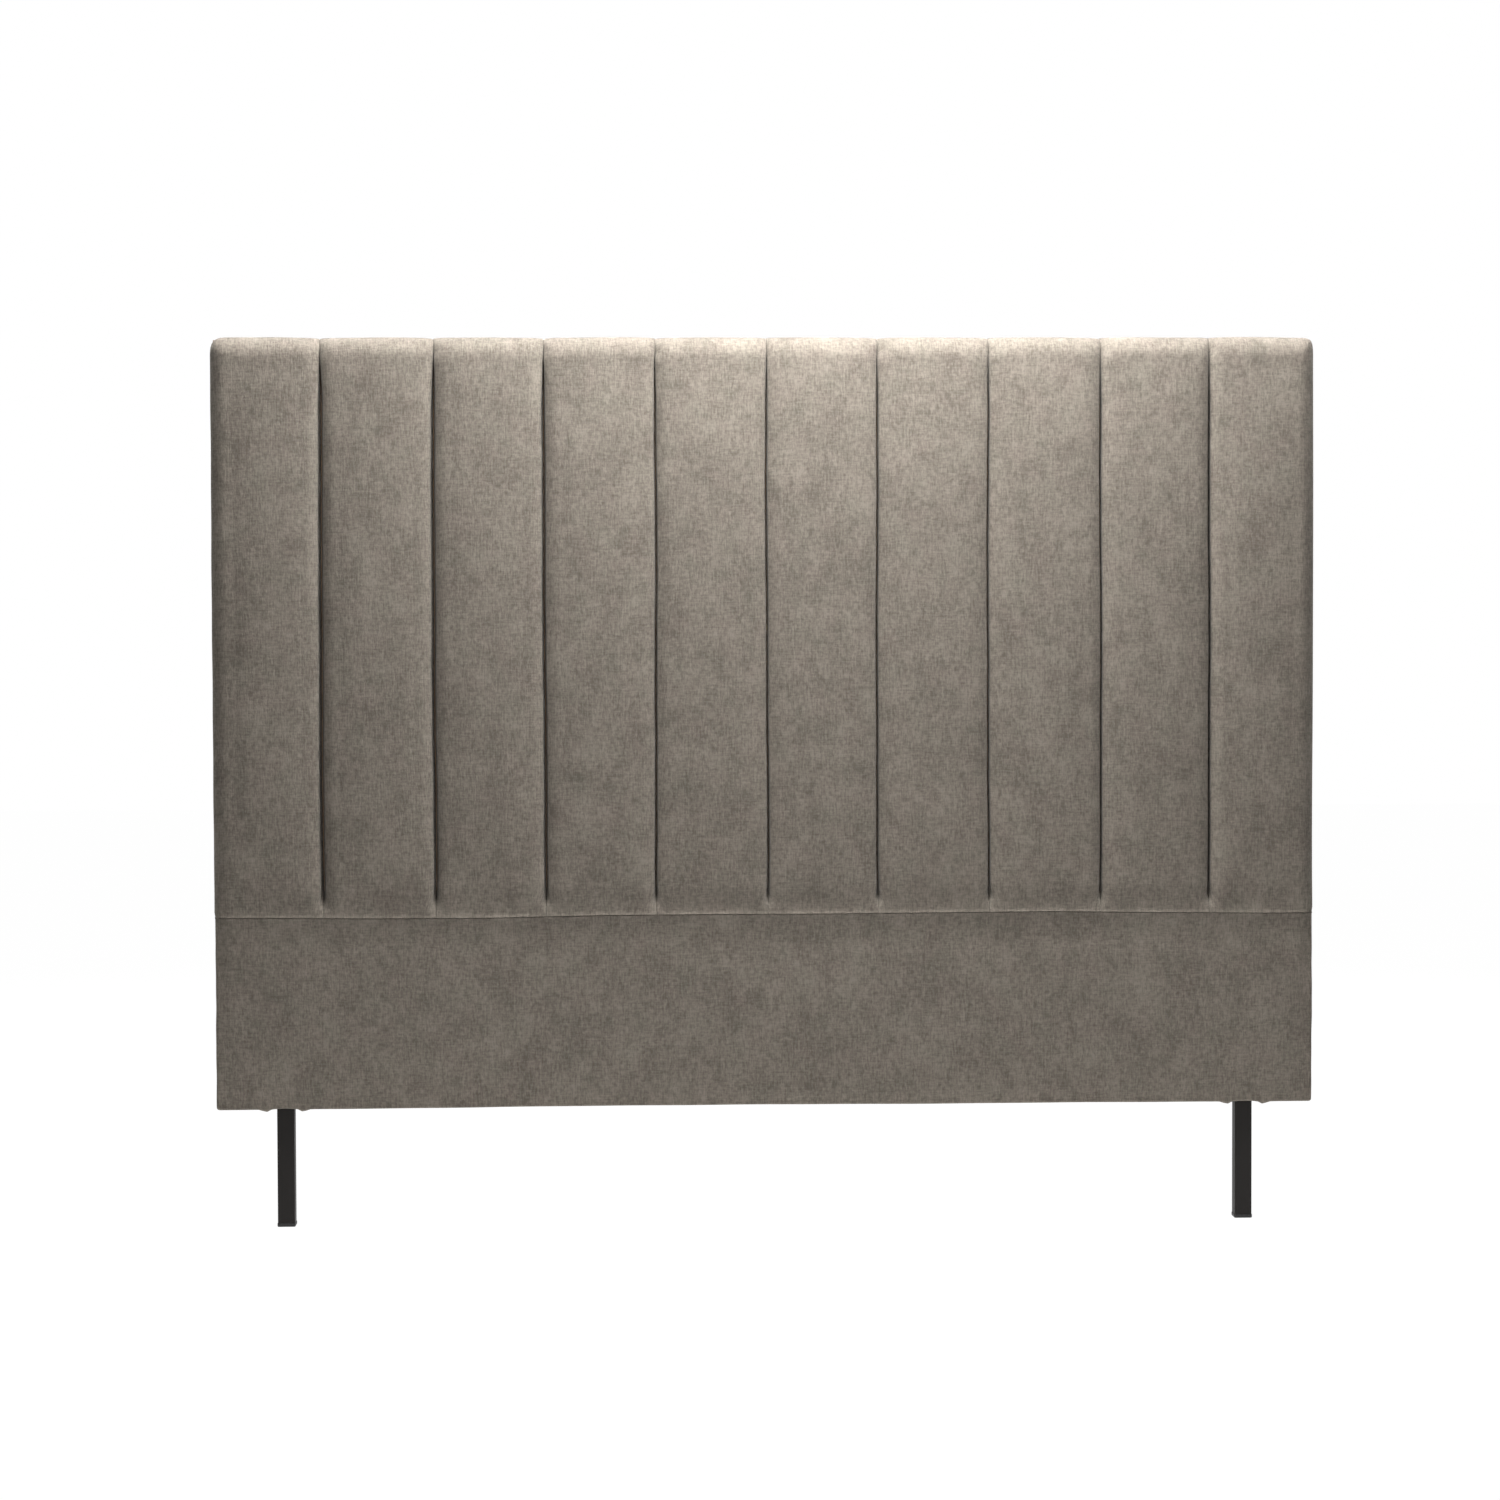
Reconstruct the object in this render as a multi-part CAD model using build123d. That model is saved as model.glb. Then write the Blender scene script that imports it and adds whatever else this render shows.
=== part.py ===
from build123d import *
import os
from math import atan2, degrees, sqrt

# An upholstered headboard on two legs, in millimetres.
# +Z is up, the padded face looks to -Y, and the origin is on the floor under the panel's middle.

os.makedirs("parts", exist_ok=True)

# Panel
panel_width = 1600
panel_height = 1115
leg_show = 175
band_height = 280
panel_corner_radius = 12

# Cover and padding
fabric = 1.5
slack = 0.3
channel_count = 10
seam_gap = 0.4
channel_foam = 24
crown_radius = 480
shoulder_radius = 18
top_roll_radius = 25
hem_roll_radius = 9
crown_relief = 0.5
band_setback = 13
band_edge_radius = 7
turn_width = 45
edge_wadding = 3

# Timber frame and boards
board = 4
board_joint = 0.4
timber_depth = 65
timber_width = 45
upper_bays = 4

# Legs
leg_inset = 100
leg_size = 25
leg_wall = 1.5
leg_corner_radius = 2
leg_inside = 230
leg_clearance = 0.5
block_overlap = 28
cap_lip = 0.7
cap_height = 5
cap_edge_radius = 1.5
cap_plug_height = 20
cap_plug_wall = 2
cap_plug_clearance = 0.2

# Leg bolts, from the back
bolt_radius = 4
bolt_length = 45
bolt_head_radius = 7
bolt_head_height = 4.4
bolt_socket_radius = 2.9
bolt_socket_depth = 2.6
bolt_hole_clearance = 0.5
bolt_recess = 8
bolt_first = 45
bolt_pitch = 100
washer_radius = 8
washer_hole_clearance = 0.2
washer_thickness = 1.6
nut_flange_radius = 6.5
nut_flange = 1.5
nut_body_radius = 5.5
nut_length = 15
thread_clearance = 0.05
nut_clearance = 0.1

# Frame screws and board screws
frame_screw_radius = 2.5
frame_screw_head_radius = 4.75
frame_screw_head_height = 3
frame_screw_length = 80
frame_screw_pitch = 24
block_screw_pitch = 100
board_screw_radius = 1.75
board_screw_head_radius = 3.5
board_screw_head_height = 2.2
board_screw_length = 18
screw_clearance = 0.1
screw_socket_share = 0.45
board_screw_edge = 12

# Dust cloth and staples at the back
dust_cloth = 0.6
dust_cloth_inset = 10
access_hole_radius = 12
staple_inset = 21
staple_width = 10
staple_wire = 0.7
staple_wire_width = 1.2
staple_leg = 9
staples_per_channel = 2
side_staple_spacing = 78
staple_hole_clearance = 0.05

# How far a cutting shape runs past what it cuts
overrun = 5

# Heights
seam_z = leg_show + band_height
panel_top = leg_show + panel_height
frame_top = panel_top - fabric - slack - edge_wadding
frame_bottom = leg_show + fabric + slack

# Depths, from the crown of the channels back to the staples
depth = (
    fabric + slack + channel_foam + board + timber_depth
    + slack + fabric + slack + dust_cloth + staple_wire
)
y_crown = -depth / 2
y_board = y_crown + fabric + slack + channel_foam
y_frame = y_board + board
y_back = y_frame + timber_depth
y_turn = y_back + slack
y_cloth = y_turn + fabric + slack
y_staple = y_cloth + dust_cloth
y_band = y_crown + band_setback

# Widths
half_width = panel_width / 2
frame_half = half_width - fabric - slack - edge_wadding
stile_inside = frame_half - timber_width
channel_pitch = (panel_width + seam_gap) / channel_count
channel_half = (channel_pitch - seam_gap) / 2
leg_x = half_width - leg_inset
leg_xs = (-leg_x, leg_x)
upright_spacing = panel_width / upper_bays


def block(x0, x1, y0, y1, z0, z1):
    """A rectangular solid between two corners."""
    return Pos((x0 + x1) / 2, (y0 + y1) / 2, (z0 + z1) / 2) * Box(x1 - x0, y1 - y0, z1 - z0)


def save(name, shape):
    """Writes one node of the assembly."""
    export_step(shape, "parts/" + name + ".step")


# Screws, which the timbers and boards need for their holes

def screw(radius, head_radius, head_height, length, clearance=0):
    """A countersunk screw with its head's top at the origin and its point down."""
    shank = radius + clearance
    head = head_radius + clearance
    profile = Polyline(
        (0, 0), (head, 0), (shank, -head_height), (shank, -(length - 2 * radius)), (0, -length),
        close=True,
    )
    solid = revolve(Plane.XZ * make_face(profile), Axis.Z)
    if clearance:
        return solid
    socket = extrude(RegularPolygon(head_radius * screw_socket_share, 6), -head_height / 2)
    return solid - socket


def frame_screw(clearance=0):
    return screw(
        frame_screw_radius, frame_screw_head_radius, frame_screw_head_height,
        frame_screw_length, clearance,
    )


def board_screw(clearance=0):
    return screw(
        board_screw_radius, board_screw_head_radius, board_screw_head_height,
        board_screw_length, clearance,
    )


# Frame members, each as the box that it fills

rail_heights = {
    "top_rail": frame_top - timber_width,
    "seam_rail": seam_z - timber_width / 2,
    "bottom_rail": frame_bottom,
}
upper_foot = rail_heights["seam_rail"] + timber_width
upper_head = rail_heights["top_rail"]
lower_foot = rail_heights["bottom_rail"] + timber_width
lower_head = rail_heights["seam_rail"]
upper_xs = {
    "upper_upright_left": -upright_spacing,
    "upper_upright_centre": 0,
    "upper_upright_right": upright_spacing,
}
lower_xs = {
    "lower_upright_left": -upright_spacing / 2,
    "lower_upright_right": upright_spacing / 2,
}

timbers = {}
for side, name in ((-1, "stile_left"), (1, "stile_right")):
    ends = sorted((side * stile_inside, side * frame_half))
    timbers[name] = block(ends[0], ends[1], y_frame, y_back, frame_bottom, frame_top)
for name, foot in rail_heights.items():
    timbers[name] = block(
        -stile_inside, stile_inside, y_frame, y_back, foot, foot + timber_width
    )
for xs, foot, head in ((upper_xs, upper_foot, upper_head), (lower_xs, lower_foot, lower_head)):
    for name, x in xs.items():
        timbers[name] = block(
            x - timber_width / 2, x + timber_width / 2, y_frame, y_back, foot, head
        )

# A leg block fills the corner behind each leg, and stops short of the frame's back
block_back = y_back - bolt_recess
leg_back = y_frame + leg_size
for side, name in ((-1, "leg_block_left"), (1, "leg_block_right")):
    ends = sorted((side * (leg_x - block_overlap), side * stile_inside))
    timbers[name] = block(ends[0], ends[1], leg_back, block_back, lower_foot, lower_head)

# Each leg passes through a notch in the bottom rail
for x in leg_xs:
    timbers["bottom_rail"] -= block(
        x - leg_size / 2 - leg_clearance, x + leg_size / 2 + leg_clearance,
        y_frame - overrun, leg_back + leg_clearance,
        frame_bottom - overrun, lower_foot + overrun,
    )

# Frame screws as places: through the stiles into the rails and leg blocks, and through the
# rails into the uprights
y_middle = (y_frame + y_back) / 2
screw_ys = (y_middle - frame_screw_pitch / 2, y_middle + frame_screw_pitch / 2)
block_y = (leg_back + block_back) / 2
block_z = (lower_foot + lower_head) / 2
point_right = Rot(0, -90, 0)
point_left = Rot(0, 90, 0)
point_up = Rot(180, 0, 0)
point_back = Rot(90, 0, 0)

stile_screws = {"stile_left": [], "stile_right": []}
rail_ends = [(y, foot + timber_width / 2) for foot in rail_heights.values() for y in screw_ys]
block_ends = [(block_y, block_z + side * block_screw_pitch / 2) for side in (-1, 1)]
for y, z in rail_ends + block_ends:
    stile_screws["stile_left"].append(Pos(-frame_half, y, z) * point_right)
    stile_screws["stile_right"].append(Pos(frame_half, y, z) * point_left)
upright_screws = []
for y in screw_ys:
    for x in upper_xs.values():
        upright_screws.append(Pos(x, y, frame_top))
        upright_screws.append(Pos(x, y, lower_head) * point_up)
    for x in lower_xs.values():
        upright_screws.append(Pos(x, y, upper_foot))
        upright_screws.append(Pos(x, y, frame_bottom) * point_up)
frame_screw_places = stile_screws["stile_left"] + stile_screws["stile_right"] + upright_screws

# Board screws as places: at the ends and middle of each upright and stile
stile_x = frame_half - timber_width / 2
upper_columns = [-stile_x, *upper_xs.values(), stile_x]
lower_columns = [-stile_x, *lower_xs.values(), stile_x]
upper_rows = (
    seam_z + board_screw_edge, (seam_z + frame_top) / 2, frame_top - timber_width / 2
)
lower_rows = (frame_bottom + timber_width / 2, block_z, seam_z - board_screw_edge)
upper_board_screws = [Pos(x, y_board, z) * point_back for x in upper_columns for z in upper_rows]
lower_board_screws = [Pos(x, y_board, z) * point_back for x in lower_columns for z in lower_rows]


# Staples at the back, as places on the dust cloth

def staple(clearance=0):
    """A staple with its crown on the origin's XZ plane, along X, and its legs towards -Y."""
    half = staple_width / 2
    wire = staple_wire_width / 2
    crown = block(-half, half, 0, staple_wire, -wire, wire)
    legs = [
        block(
            min(x0, x1) - clearance, max(x0, x1) + clearance,
            -staple_leg - clearance, staple_wire / 2,
            -wire - clearance, wire + clearance,
        )
        for x0, x1 in ((-half, -half + staple_wire), (half - staple_wire, half))
    ]
    return legs[0] + legs[1] if clearance else crown + legs


staple_places = []
for row in range(channel_count * staples_per_channel):
    x = -half_width + (row + 1 / 2) * channel_pitch / staples_per_channel
    for z in (leg_show + staple_inset, panel_top - staple_inset):
        staple_places.append(Pos(x, y_staple, z))
side_run = panel_height - 2 * staple_inset
side_count = int(side_run / side_staple_spacing)
for row in range(1, side_count):
    z = leg_show + staple_inset + row * side_run / side_count
    for x in (-half_width + staple_inset, half_width - staple_inset):
        staple_places.append(Pos(x, y_staple, z) * Rot(0, 90, 0))


def within(places, shape):
    """The places whose X and Z lie over a shape."""
    box = shape.bounding_box()
    kept = []
    for place in places:
        x, z = place.position.X, place.position.Z
        if box.min.X < x < box.max.X and box.min.Z < z < box.max.Z:
            kept.append(place)
    return kept


def meets(one, other):
    """Whether the boxes round two shapes share any space."""
    a, b = one.bounding_box(), other.bounding_box()
    low = Vector(max(a.min.X, b.min.X), max(a.min.Y, b.min.Y), max(a.min.Z, b.min.Z))
    high = Vector(min(a.max.X, b.max.X), min(a.max.Y, b.max.Y), min(a.max.Z, b.max.Z))
    return low.X < high.X and low.Y < high.Y and low.Z < high.Z


def drilled(shape, places, hole):
    """A shape with one hole at each place."""
    return shape - [place * hole for place in places] if places else shape


# Timbers with their screw, bolt and staple holes

frame_hole = frame_screw(screw_clearance)
board_hole = board_screw(screw_clearance)
staple_hole = staple(staple_hole_clearance)
bolt_zs = (lower_foot + bolt_first, lower_foot + bolt_first + bolt_pitch)
bolt_places = [Pos(x, block_back, z) * Rot(-90, 0, 0) for x in leg_xs for z in bolt_zs]
nut_places = [Pos(x, leg_back, z) * Rot(-90, 0, 0) for x in leg_xs for z in bolt_zs]
bolt_hole = Cylinder(bolt_radius + bolt_hole_clearance, 2 * timber_depth)
pocket_depth = nut_flange + nut_clearance
nut_pocket = Pos(0, 0, pocket_depth / 2) * Cylinder(nut_flange_radius + nut_clearance, pocket_depth)

for name, timber in timbers.items():
    crossing = [place for place in frame_screw_places if meets(place * frame_hole, timber)]
    timber = drilled(timber, crossing, frame_hole)
    if name.startswith("leg_block"):
        timber = drilled(timber, within(bolt_places, timber), bolt_hole)
        timber = drilled(timber, within(nut_places, timber), nut_pocket)
    else:
        board_screws = within(upper_board_screws + lower_board_screws, timber)
        timber = drilled(timber, board_screws, board_hole)
        timber = drilled(timber, within(staple_places, timber), staple_hole)
    save(name, timber)
save("frame_screws", Compound(children=[place * frame_screw() for place in frame_screw_places]))

# Boards on the frame's front, which meet behind the long seam

upper_board = block(
    -frame_half, frame_half, y_board, y_frame, seam_z + board_joint / 2, frame_top
)
lower_board = block(
    -frame_half, frame_half, y_board, y_frame, frame_bottom, seam_z - board_joint / 2
)
save("upper_board", drilled(upper_board, upper_board_screws, board_hole))
save("lower_board", drilled(lower_board, lower_board_screws, board_hole))
board_screw_places = upper_board_screws + lower_board_screws
save("board_screws", Compound(children=[place * board_screw() for place in board_screw_places]))

# Wadding over the frame's top and sides, which leaves the rounded top corners free

corner_x = half_width - panel_corner_radius
corner_z = panel_top - panel_corner_radius
save(
    "edge_wadding_top",
    block(-corner_x, corner_x, y_board, y_back, frame_top, frame_top + edge_wadding),
)
for side, name in ((-1, "edge_wadding_left"), (1, "edge_wadding_right")):
    ends = sorted((side * frame_half, side * (frame_half + edge_wadding)))
    save(name, block(ends[0], ends[1], y_board, y_back, frame_bottom, corner_z))


# Forms that the foam and the cover share

def rounded_front(front, back, low, high, low_radius, high_radius):
    """A face in depth and height, with its two front corners rounded."""
    return make_face(
        Line((back, low), (front + low_radius, low))
        + CenterArc((front + low_radius, low + low_radius), low_radius, 270, -90)
        + Line((front, low + low_radius), (front, high - high_radius))
        + CenterArc((front + high_radius, high - high_radius), high_radius, 180, -90)
        + Line((front + high_radius, high), (back, high))
        + Line((back, high), (back, low))
    )


def channel_plan(inset, back):
    """A channel from above: a flat crown arc between two round shoulders."""
    side = channel_half - inset
    x_shoulder = channel_half - shoulder_radius
    y_centre = y_crown + crown_radius
    y_shoulder = y_centre - sqrt((crown_radius - shoulder_radius) ** 2 - x_shoulder**2)
    turn = degrees(atan2(y_shoulder - y_centre, x_shoulder))
    shoulder = shoulder_radius - inset
    return make_face(
        CenterArc((x_shoulder, y_shoulder), shoulder, 0, turn)
        + CenterArc((0, y_centre), crown_radius - inset, turn, -180 - 2 * turn)
        + CenterArc((-x_shoulder, y_shoulder), shoulder, -180 - turn, turn)
        + Line((-side, y_shoulder), (-side, back))
        + Line((-side, back), (side, back))
        + Line((side, back), (side, y_shoulder))
    )


def corner_waste(side, inset):
    """What lies outside the panel's rounded top corner on one side."""
    ends = sorted((side * corner_x, side * (half_width + overrun)))
    square = block(ends[0], ends[1], -depth, depth, corner_z, panel_top + overrun)
    rod = Cylinder(panel_corner_radius - inset, 2 * depth)
    return square - Pos(side * corner_x, 0, corner_z) * Rot(90, 0, 0) * rod


def channel_form(inset, back, x, side):
    """One channel in front of the boards, drawn in by inset from the cover's outside."""
    column = extrude(channel_plan(inset, back), panel_top, dir=(0, 0, 1))
    outline = rounded_front(
        y_crown - crown_relief + inset, back, seam_z + slack + inset, panel_top - inset,
        hem_roll_radius - inset, top_roll_radius - inset,
    )
    form = column & extrude(Plane.YZ * outline, channel_half + overrun, both=True)
    form = Pos(x, 0, 0) * form
    return form - corner_waste(side, inset) if side else form


def band_form(inset, back):
    """The plain band in front of the boards, drawn in by inset from the cover's outside."""
    plan = rounded_front(
        y_band + inset, back, -half_width + inset, half_width - inset,
        band_edge_radius - inset, band_edge_radius - inset,
    )
    outline = rounded_front(
        y_band + inset, back, leg_show + inset, seam_z - slack - inset,
        band_edge_radius - inset, band_edge_radius - inset,
    )
    upright = Plane((0, 0, 0), x_dir=(0, 1, 0), z_dir=(0, 0, -1))
    column = extrude(upright * plan, panel_top, dir=(0, 0, 1))
    return column & extrude(Plane.YZ * outline, half_width + overrun, both=True)


def cover_wrap(x0, x1, z0, z1):
    """The cover behind the boards' front: round the panel's edges and turned in over the back."""
    inside_half = half_width - fabric
    window_half = half_width - turn_width
    inside = block(
        -inside_half, inside_half, y_board - overrun, y_turn,
        leg_show + fabric, panel_top - fabric,
    )
    window = block(
        -window_half, window_half, y_board - overrun, y_cloth,
        leg_show + turn_width, panel_top - turn_width,
    )
    for side in (-1, 1):
        inside -= corner_waste(side, fabric)
    return block(x0, x1, y_board, y_turn + fabric, z0, z1) - inside - window


# Channels: a foam strip each, in a cover that wraps over the top and turns in at the back

for number in range(channel_count):
    x = -half_width + channel_half + number * channel_pitch
    side = {0: -1, channel_count - 1: 1}.get(number, 0)
    label = "_" + str(number + 1).zfill(2)
    save("foam_channel" + label, channel_form(fabric + slack, y_board, x, side))
    front = channel_form(0, y_board, x, side)
    front -= channel_form(fabric, y_board + overrun, x, side)
    wrap = cover_wrap(x - channel_half, x + channel_half, seam_z + slack, panel_top)
    cover = front + (wrap - corner_waste(side, 0) if side else wrap)
    save("fabric_channel" + label, drilled(cover, within(staple_places, cover), staple_hole))

# Plain band below the seam, whose cover has a slot for each leg

save("lower_foam", band_form(fabric + slack, y_board))
cover = band_form(0, y_board) - band_form(fabric, y_board + overrun)
cover += cover_wrap(-half_width, half_width, leg_show, seam_z - slack)
for x in leg_xs:
    cover -= block(
        x - leg_size / 2 - leg_clearance, x + leg_size / 2 + leg_clearance,
        y_frame, leg_back + leg_clearance, leg_show - overrun, leg_show + overrun,
    )
save("lower_fabric", drilled(cover, within(staple_places, cover), staple_hole))

# Legs: square tubes with a plug cap at the foot and two rivet nuts in the back wall

tube_inside = leg_size - 2 * leg_wall
leg_top = leg_show + leg_inside
tube = extrude(RectangleRounded(leg_size, leg_size, leg_corner_radius), leg_top - cap_height)
tube -= extrude(
    RectangleRounded(tube_inside, tube_inside, leg_corner_radius - leg_wall), leg_top
)
nut_hole = Cylinder(nut_body_radius + nut_clearance, leg_size)

cap_size = leg_size + 2 * cap_lip
cap = extrude(RectangleRounded(cap_size, cap_size, leg_corner_radius + cap_lip), cap_height)
cap = fillet(cap.faces().sort_by(Axis.Z)[0].edges(), cap_edge_radius)
plug_size = tube_inside - 2 * cap_plug_clearance
plug = extrude(Rectangle(plug_size, plug_size), cap_plug_height)
plug -= extrude(
    Rectangle(plug_size - 2 * cap_plug_wall, plug_size - 2 * cap_plug_wall), cap_plug_height
)
cap += Pos(0, 0, cap_height) * plug

for x, name in zip(leg_xs, ("left", "right")):
    foot = Pos(x, y_frame + leg_size / 2, 0)
    leg = foot * Pos(0, 0, cap_height) * tube
    save("leg_" + name, drilled(leg, within(nut_places, leg), nut_hole))
    save("foot_cap_" + name, foot * cap)

# Bolts, washers and rivet nuts that hold the legs to their blocks

rise = (Align.CENTER, Align.CENTER, Align.MIN)
sink = (Align.CENTER, Align.CENTER, Align.MAX)
head = Cylinder(bolt_head_radius, bolt_head_height, align=rise)
head = fillet(head.edges().sort_by(Axis.Z)[-1], bolt_head_height / 2)
socket = extrude(RegularPolygon(bolt_socket_radius, 6), -bolt_socket_depth)
bolt = head - Pos(0, 0, bolt_head_height) * socket
bolt = Pos(0, 0, washer_thickness) * (bolt + Cylinder(bolt_radius, bolt_length, align=sink))
washer = Cylinder(washer_radius, washer_thickness, align=rise)
washer -= Cylinder(bolt_radius + washer_hole_clearance, 2 * washer_thickness)
nut = Cylinder(nut_flange_radius, nut_flange, align=rise)
nut += Cylinder(nut_body_radius, nut_length, align=sink)
nut -= Cylinder(bolt_radius + thread_clearance, 3 * nut_length)
save("leg_bolts", Compound(children=[place * bolt for place in bolt_places]))
save("leg_washers", Compound(children=[place * washer for place in bolt_places]))
save("leg_rivet_nuts", Compound(children=[place * nut for place in nut_places]))

# Dust cloth over the open back, with a hole at each leg bolt, and the staples that hold it

cloth_half = half_width - dust_cloth_inset
cloth = block(
    -cloth_half, cloth_half, y_cloth, y_staple,
    leg_show + dust_cloth_inset, panel_top - dust_cloth_inset,
)
cloth = drilled(cloth, bolt_places, Cylinder(access_hole_radius, 2 * timber_depth))
save("dust_cloth", drilled(cloth, staple_places, staple_hole))
save("back_staples", Compound(children=[place * staple() for place in staple_places]))
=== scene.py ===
import math

import bmesh
import bpy
import numpy as np
from mathutils import Matrix, Vector


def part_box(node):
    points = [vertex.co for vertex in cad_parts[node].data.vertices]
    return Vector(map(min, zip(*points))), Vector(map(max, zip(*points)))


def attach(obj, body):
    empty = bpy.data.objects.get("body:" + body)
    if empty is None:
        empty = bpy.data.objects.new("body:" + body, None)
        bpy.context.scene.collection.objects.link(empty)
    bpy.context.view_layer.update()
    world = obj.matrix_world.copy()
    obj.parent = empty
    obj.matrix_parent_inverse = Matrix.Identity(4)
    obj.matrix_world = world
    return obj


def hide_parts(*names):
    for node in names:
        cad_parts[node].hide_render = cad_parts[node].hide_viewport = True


# A channelled headboard on two steel legs, in metres, made in the order that it is put together.
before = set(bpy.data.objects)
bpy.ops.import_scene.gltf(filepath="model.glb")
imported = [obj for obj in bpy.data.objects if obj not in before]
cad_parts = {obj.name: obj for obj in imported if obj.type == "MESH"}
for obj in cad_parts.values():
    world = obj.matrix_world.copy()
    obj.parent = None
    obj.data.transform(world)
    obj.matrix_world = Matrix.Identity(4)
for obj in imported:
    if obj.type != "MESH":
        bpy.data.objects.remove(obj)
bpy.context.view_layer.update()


# Timber frame
# Two stiles, three rails, five uprights and a block behind each leg, of planed pine.
# The battens are butted and screwed, with their grain along their length.

def pick(sockets, key):
    """A node's socket by its place, its identifier, or its name with _ for spaces."""
    if isinstance(key, int):
        return sockets[key]
    named = {socket.name.replace(" ", "_"): socket for socket in reversed(sockets)}
    return {**named, **{socket.identifier: socket for socket in sockets}}[key]


class Value:
    """A socket's output, which can stand in sums, products and powers like a number."""

    def __init__(self, nodes, socket):
        self.nodes = nodes
        self.socket = socket

    def math(self, operation, other=0.0, turned=False):
        first, second = (other, self) if turned else (self, other)
        return self.nodes.node(
            "ShaderNodeMath", {"operation": operation}, Value=first, Value_001=second
        )

    def __add__(self, other):
        return self.math("ADD", other)

    def __sub__(self, other):
        return self.math("SUBTRACT", other)

    def __rsub__(self, other):
        return self.math("SUBTRACT", other, turned=True)

    def __mul__(self, other):
        return self.math("MULTIPLY", other)

    def __truediv__(self, other):
        return self.math("DIVIDE", other)

    def __rtruediv__(self, other):
        return self.math("DIVIDE", other, turned=True)

    def __pow__(self, other):
        return self.math("POWER", other)

    __radd__ = __add__
    __rmul__ = __mul__


class Nodes:
    """A node tree that is filled by one method."""

    def __init__(self, tree):
        self.tree = tree

    def node(self, kind, settings=None, output=0, **sockets):
        """Adds a node: its settings, then what its sockets hold or are linked to."""
        node = self.tree.nodes.new(kind)
        for key, value in (settings or {}).items():
            setattr(node, key, value)
        for key, held in sockets.items():
            socket = pick(node.inputs, key)
            for value in held if isinstance(held, list) else [held]:
                if isinstance(value, Value):
                    self.tree.links.new(value.socket, socket)
                else:
                    solid = socket.type == "RGBA" and len(value) == 3
                    socket.default_value = (*value, 1) if solid else value
        return Value(self, pick(node.outputs, output)) if node.outputs else node


class Finish(Nodes):
    """A surface finish as a material made of nodes."""

    def __init__(self, name):
        self.material = bpy.data.materials.new(name)
        self.material.use_nodes = True
        super().__init__(self.material.node_tree)
        self.tree.nodes.clear()

    def place(self):
        """Where on the object a point is, in metres."""
        return self.node("ShaderNodeTexCoord", output="Object")

    def stretched(self, place, grain):
        """A place measured in grains of the given size along each axis."""
        return self.node(
            "ShaderNodeVectorMath", {"operation": "MULTIPLY"},
            Vector=place, Vector_001=tuple(1 / size for size in grain),
        )

    def along(self, place, axis):
        """How far a place lies along one axis."""
        return self.node("ShaderNodeSeparateXYZ", output=axis, Vector=place)

    def noise(self, place, grain, detail=2.0, roughness=0.5):
        """Cloudy values about 0.5, in grains of the given size along each axis."""
        return self.node(
            "ShaderNodeTexNoise", Vector=self.stretched(place, grain),
            Scale=1.0, Detail=detail, Roughness=roughness,
        )

    def mix(self, share, one, other):
        """One colour turning into another."""
        return self.node(
            "ShaderNodeMix", {"data_type": "RGBA", "clamp_factor": True},
            output="Result_Color", Factor_Float=share, A_Color=one, B_Color=other,
        )

    def bump(self, height, depth):
        """The relief of a height from 0 to 1 that stands as deep as given, in metres."""
        return self.node("ShaderNodeBump", Strength=1.0, Distance=depth, Height=height)

    def surface(self, **sockets):
        """Ends the finish in one shader."""
        shader = self.node("ShaderNodeBsdfPrincipled", **sockets)
        self.node("ShaderNodeOutputMaterial", Surface=shader)
        return self.material


def dress(material, *names):
    """Gives a finish to the frame's own pieces."""
    for name in names:
        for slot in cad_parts[name].material_slots:
            slot.material = material


ring_width = 0.011
ring_run = 0.4
ring_turns = 46
fibre_width = 0.0006
fibre_run = 0.03
stain_size = 0.09


def pine(name, axis):
    """Planed pine with its grain along one axis: pale early wood and darker late wood."""
    finish = Finish(name)
    place = finish.place()
    ring_grain = [ring_width] * 3
    ring_grain[axis] = ring_run
    fibre_grain = [fibre_width] * 3
    fibre_grain[axis] = fibre_run
    rings = (finish.noise(place, ring_grain, detail=1.0) * ring_turns).math("SINE") * 0.5 + 0.5
    fibres = finish.noise(place, fibre_grain, detail=3.0)
    stain = finish.noise(place, [stain_size] * 3)
    wood = finish.mix(rings ** 2 * 0.8, (0.62, 0.45, 0.27), (0.40, 0.25, 0.12))
    wood = finish.mix(fibres * 0.45, wood, (0.33, 0.21, 0.11))
    wood = finish.mix(stain * 0.25, wood, (0.70, 0.55, 0.36))
    return finish.surface(
        Base_Color=wood, Roughness=0.62 + fibres * 0.15,
        Normal=finish.bump(fibres + rings * 0.3, 0.0002),
    )


standing_pine = pine("pine_standing", 2)
lying_pine = pine("pine_lying", 0)
dress(
    standing_pine, "stile_left", "stile_right", "upper_upright_left", "upper_upright_centre",
    "upper_upright_right", "lower_upright_left", "lower_upright_right",
    "leg_block_left", "leg_block_right",
)
dress(lying_pine, "top_rail", "seam_rail", "bottom_rail")


# Frame screws
# Countersunk wood screws through the stiles and rails, of hardened steel.
# They are zinc plated and passivated yellow.

def plated(name, colour, dull):
    """Plated steel with faint drawing marks and cloudy passivation."""
    finish = Finish(name)
    place = finish.place()
    clouds = finish.noise(place, (0.002, 0.002, 0.002), detail=3.0)
    marks = finish.noise(place, (0.0002, 0.0002, 0.0015))
    return finish.surface(
        Base_Color=finish.mix(clouds * 0.5, colour, tuple(share * 0.7 for share in colour)),
        Metallic=1.0, Roughness=dull + marks * 0.2, Normal=finish.bump(marks, 0.00002),
    )


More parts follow.
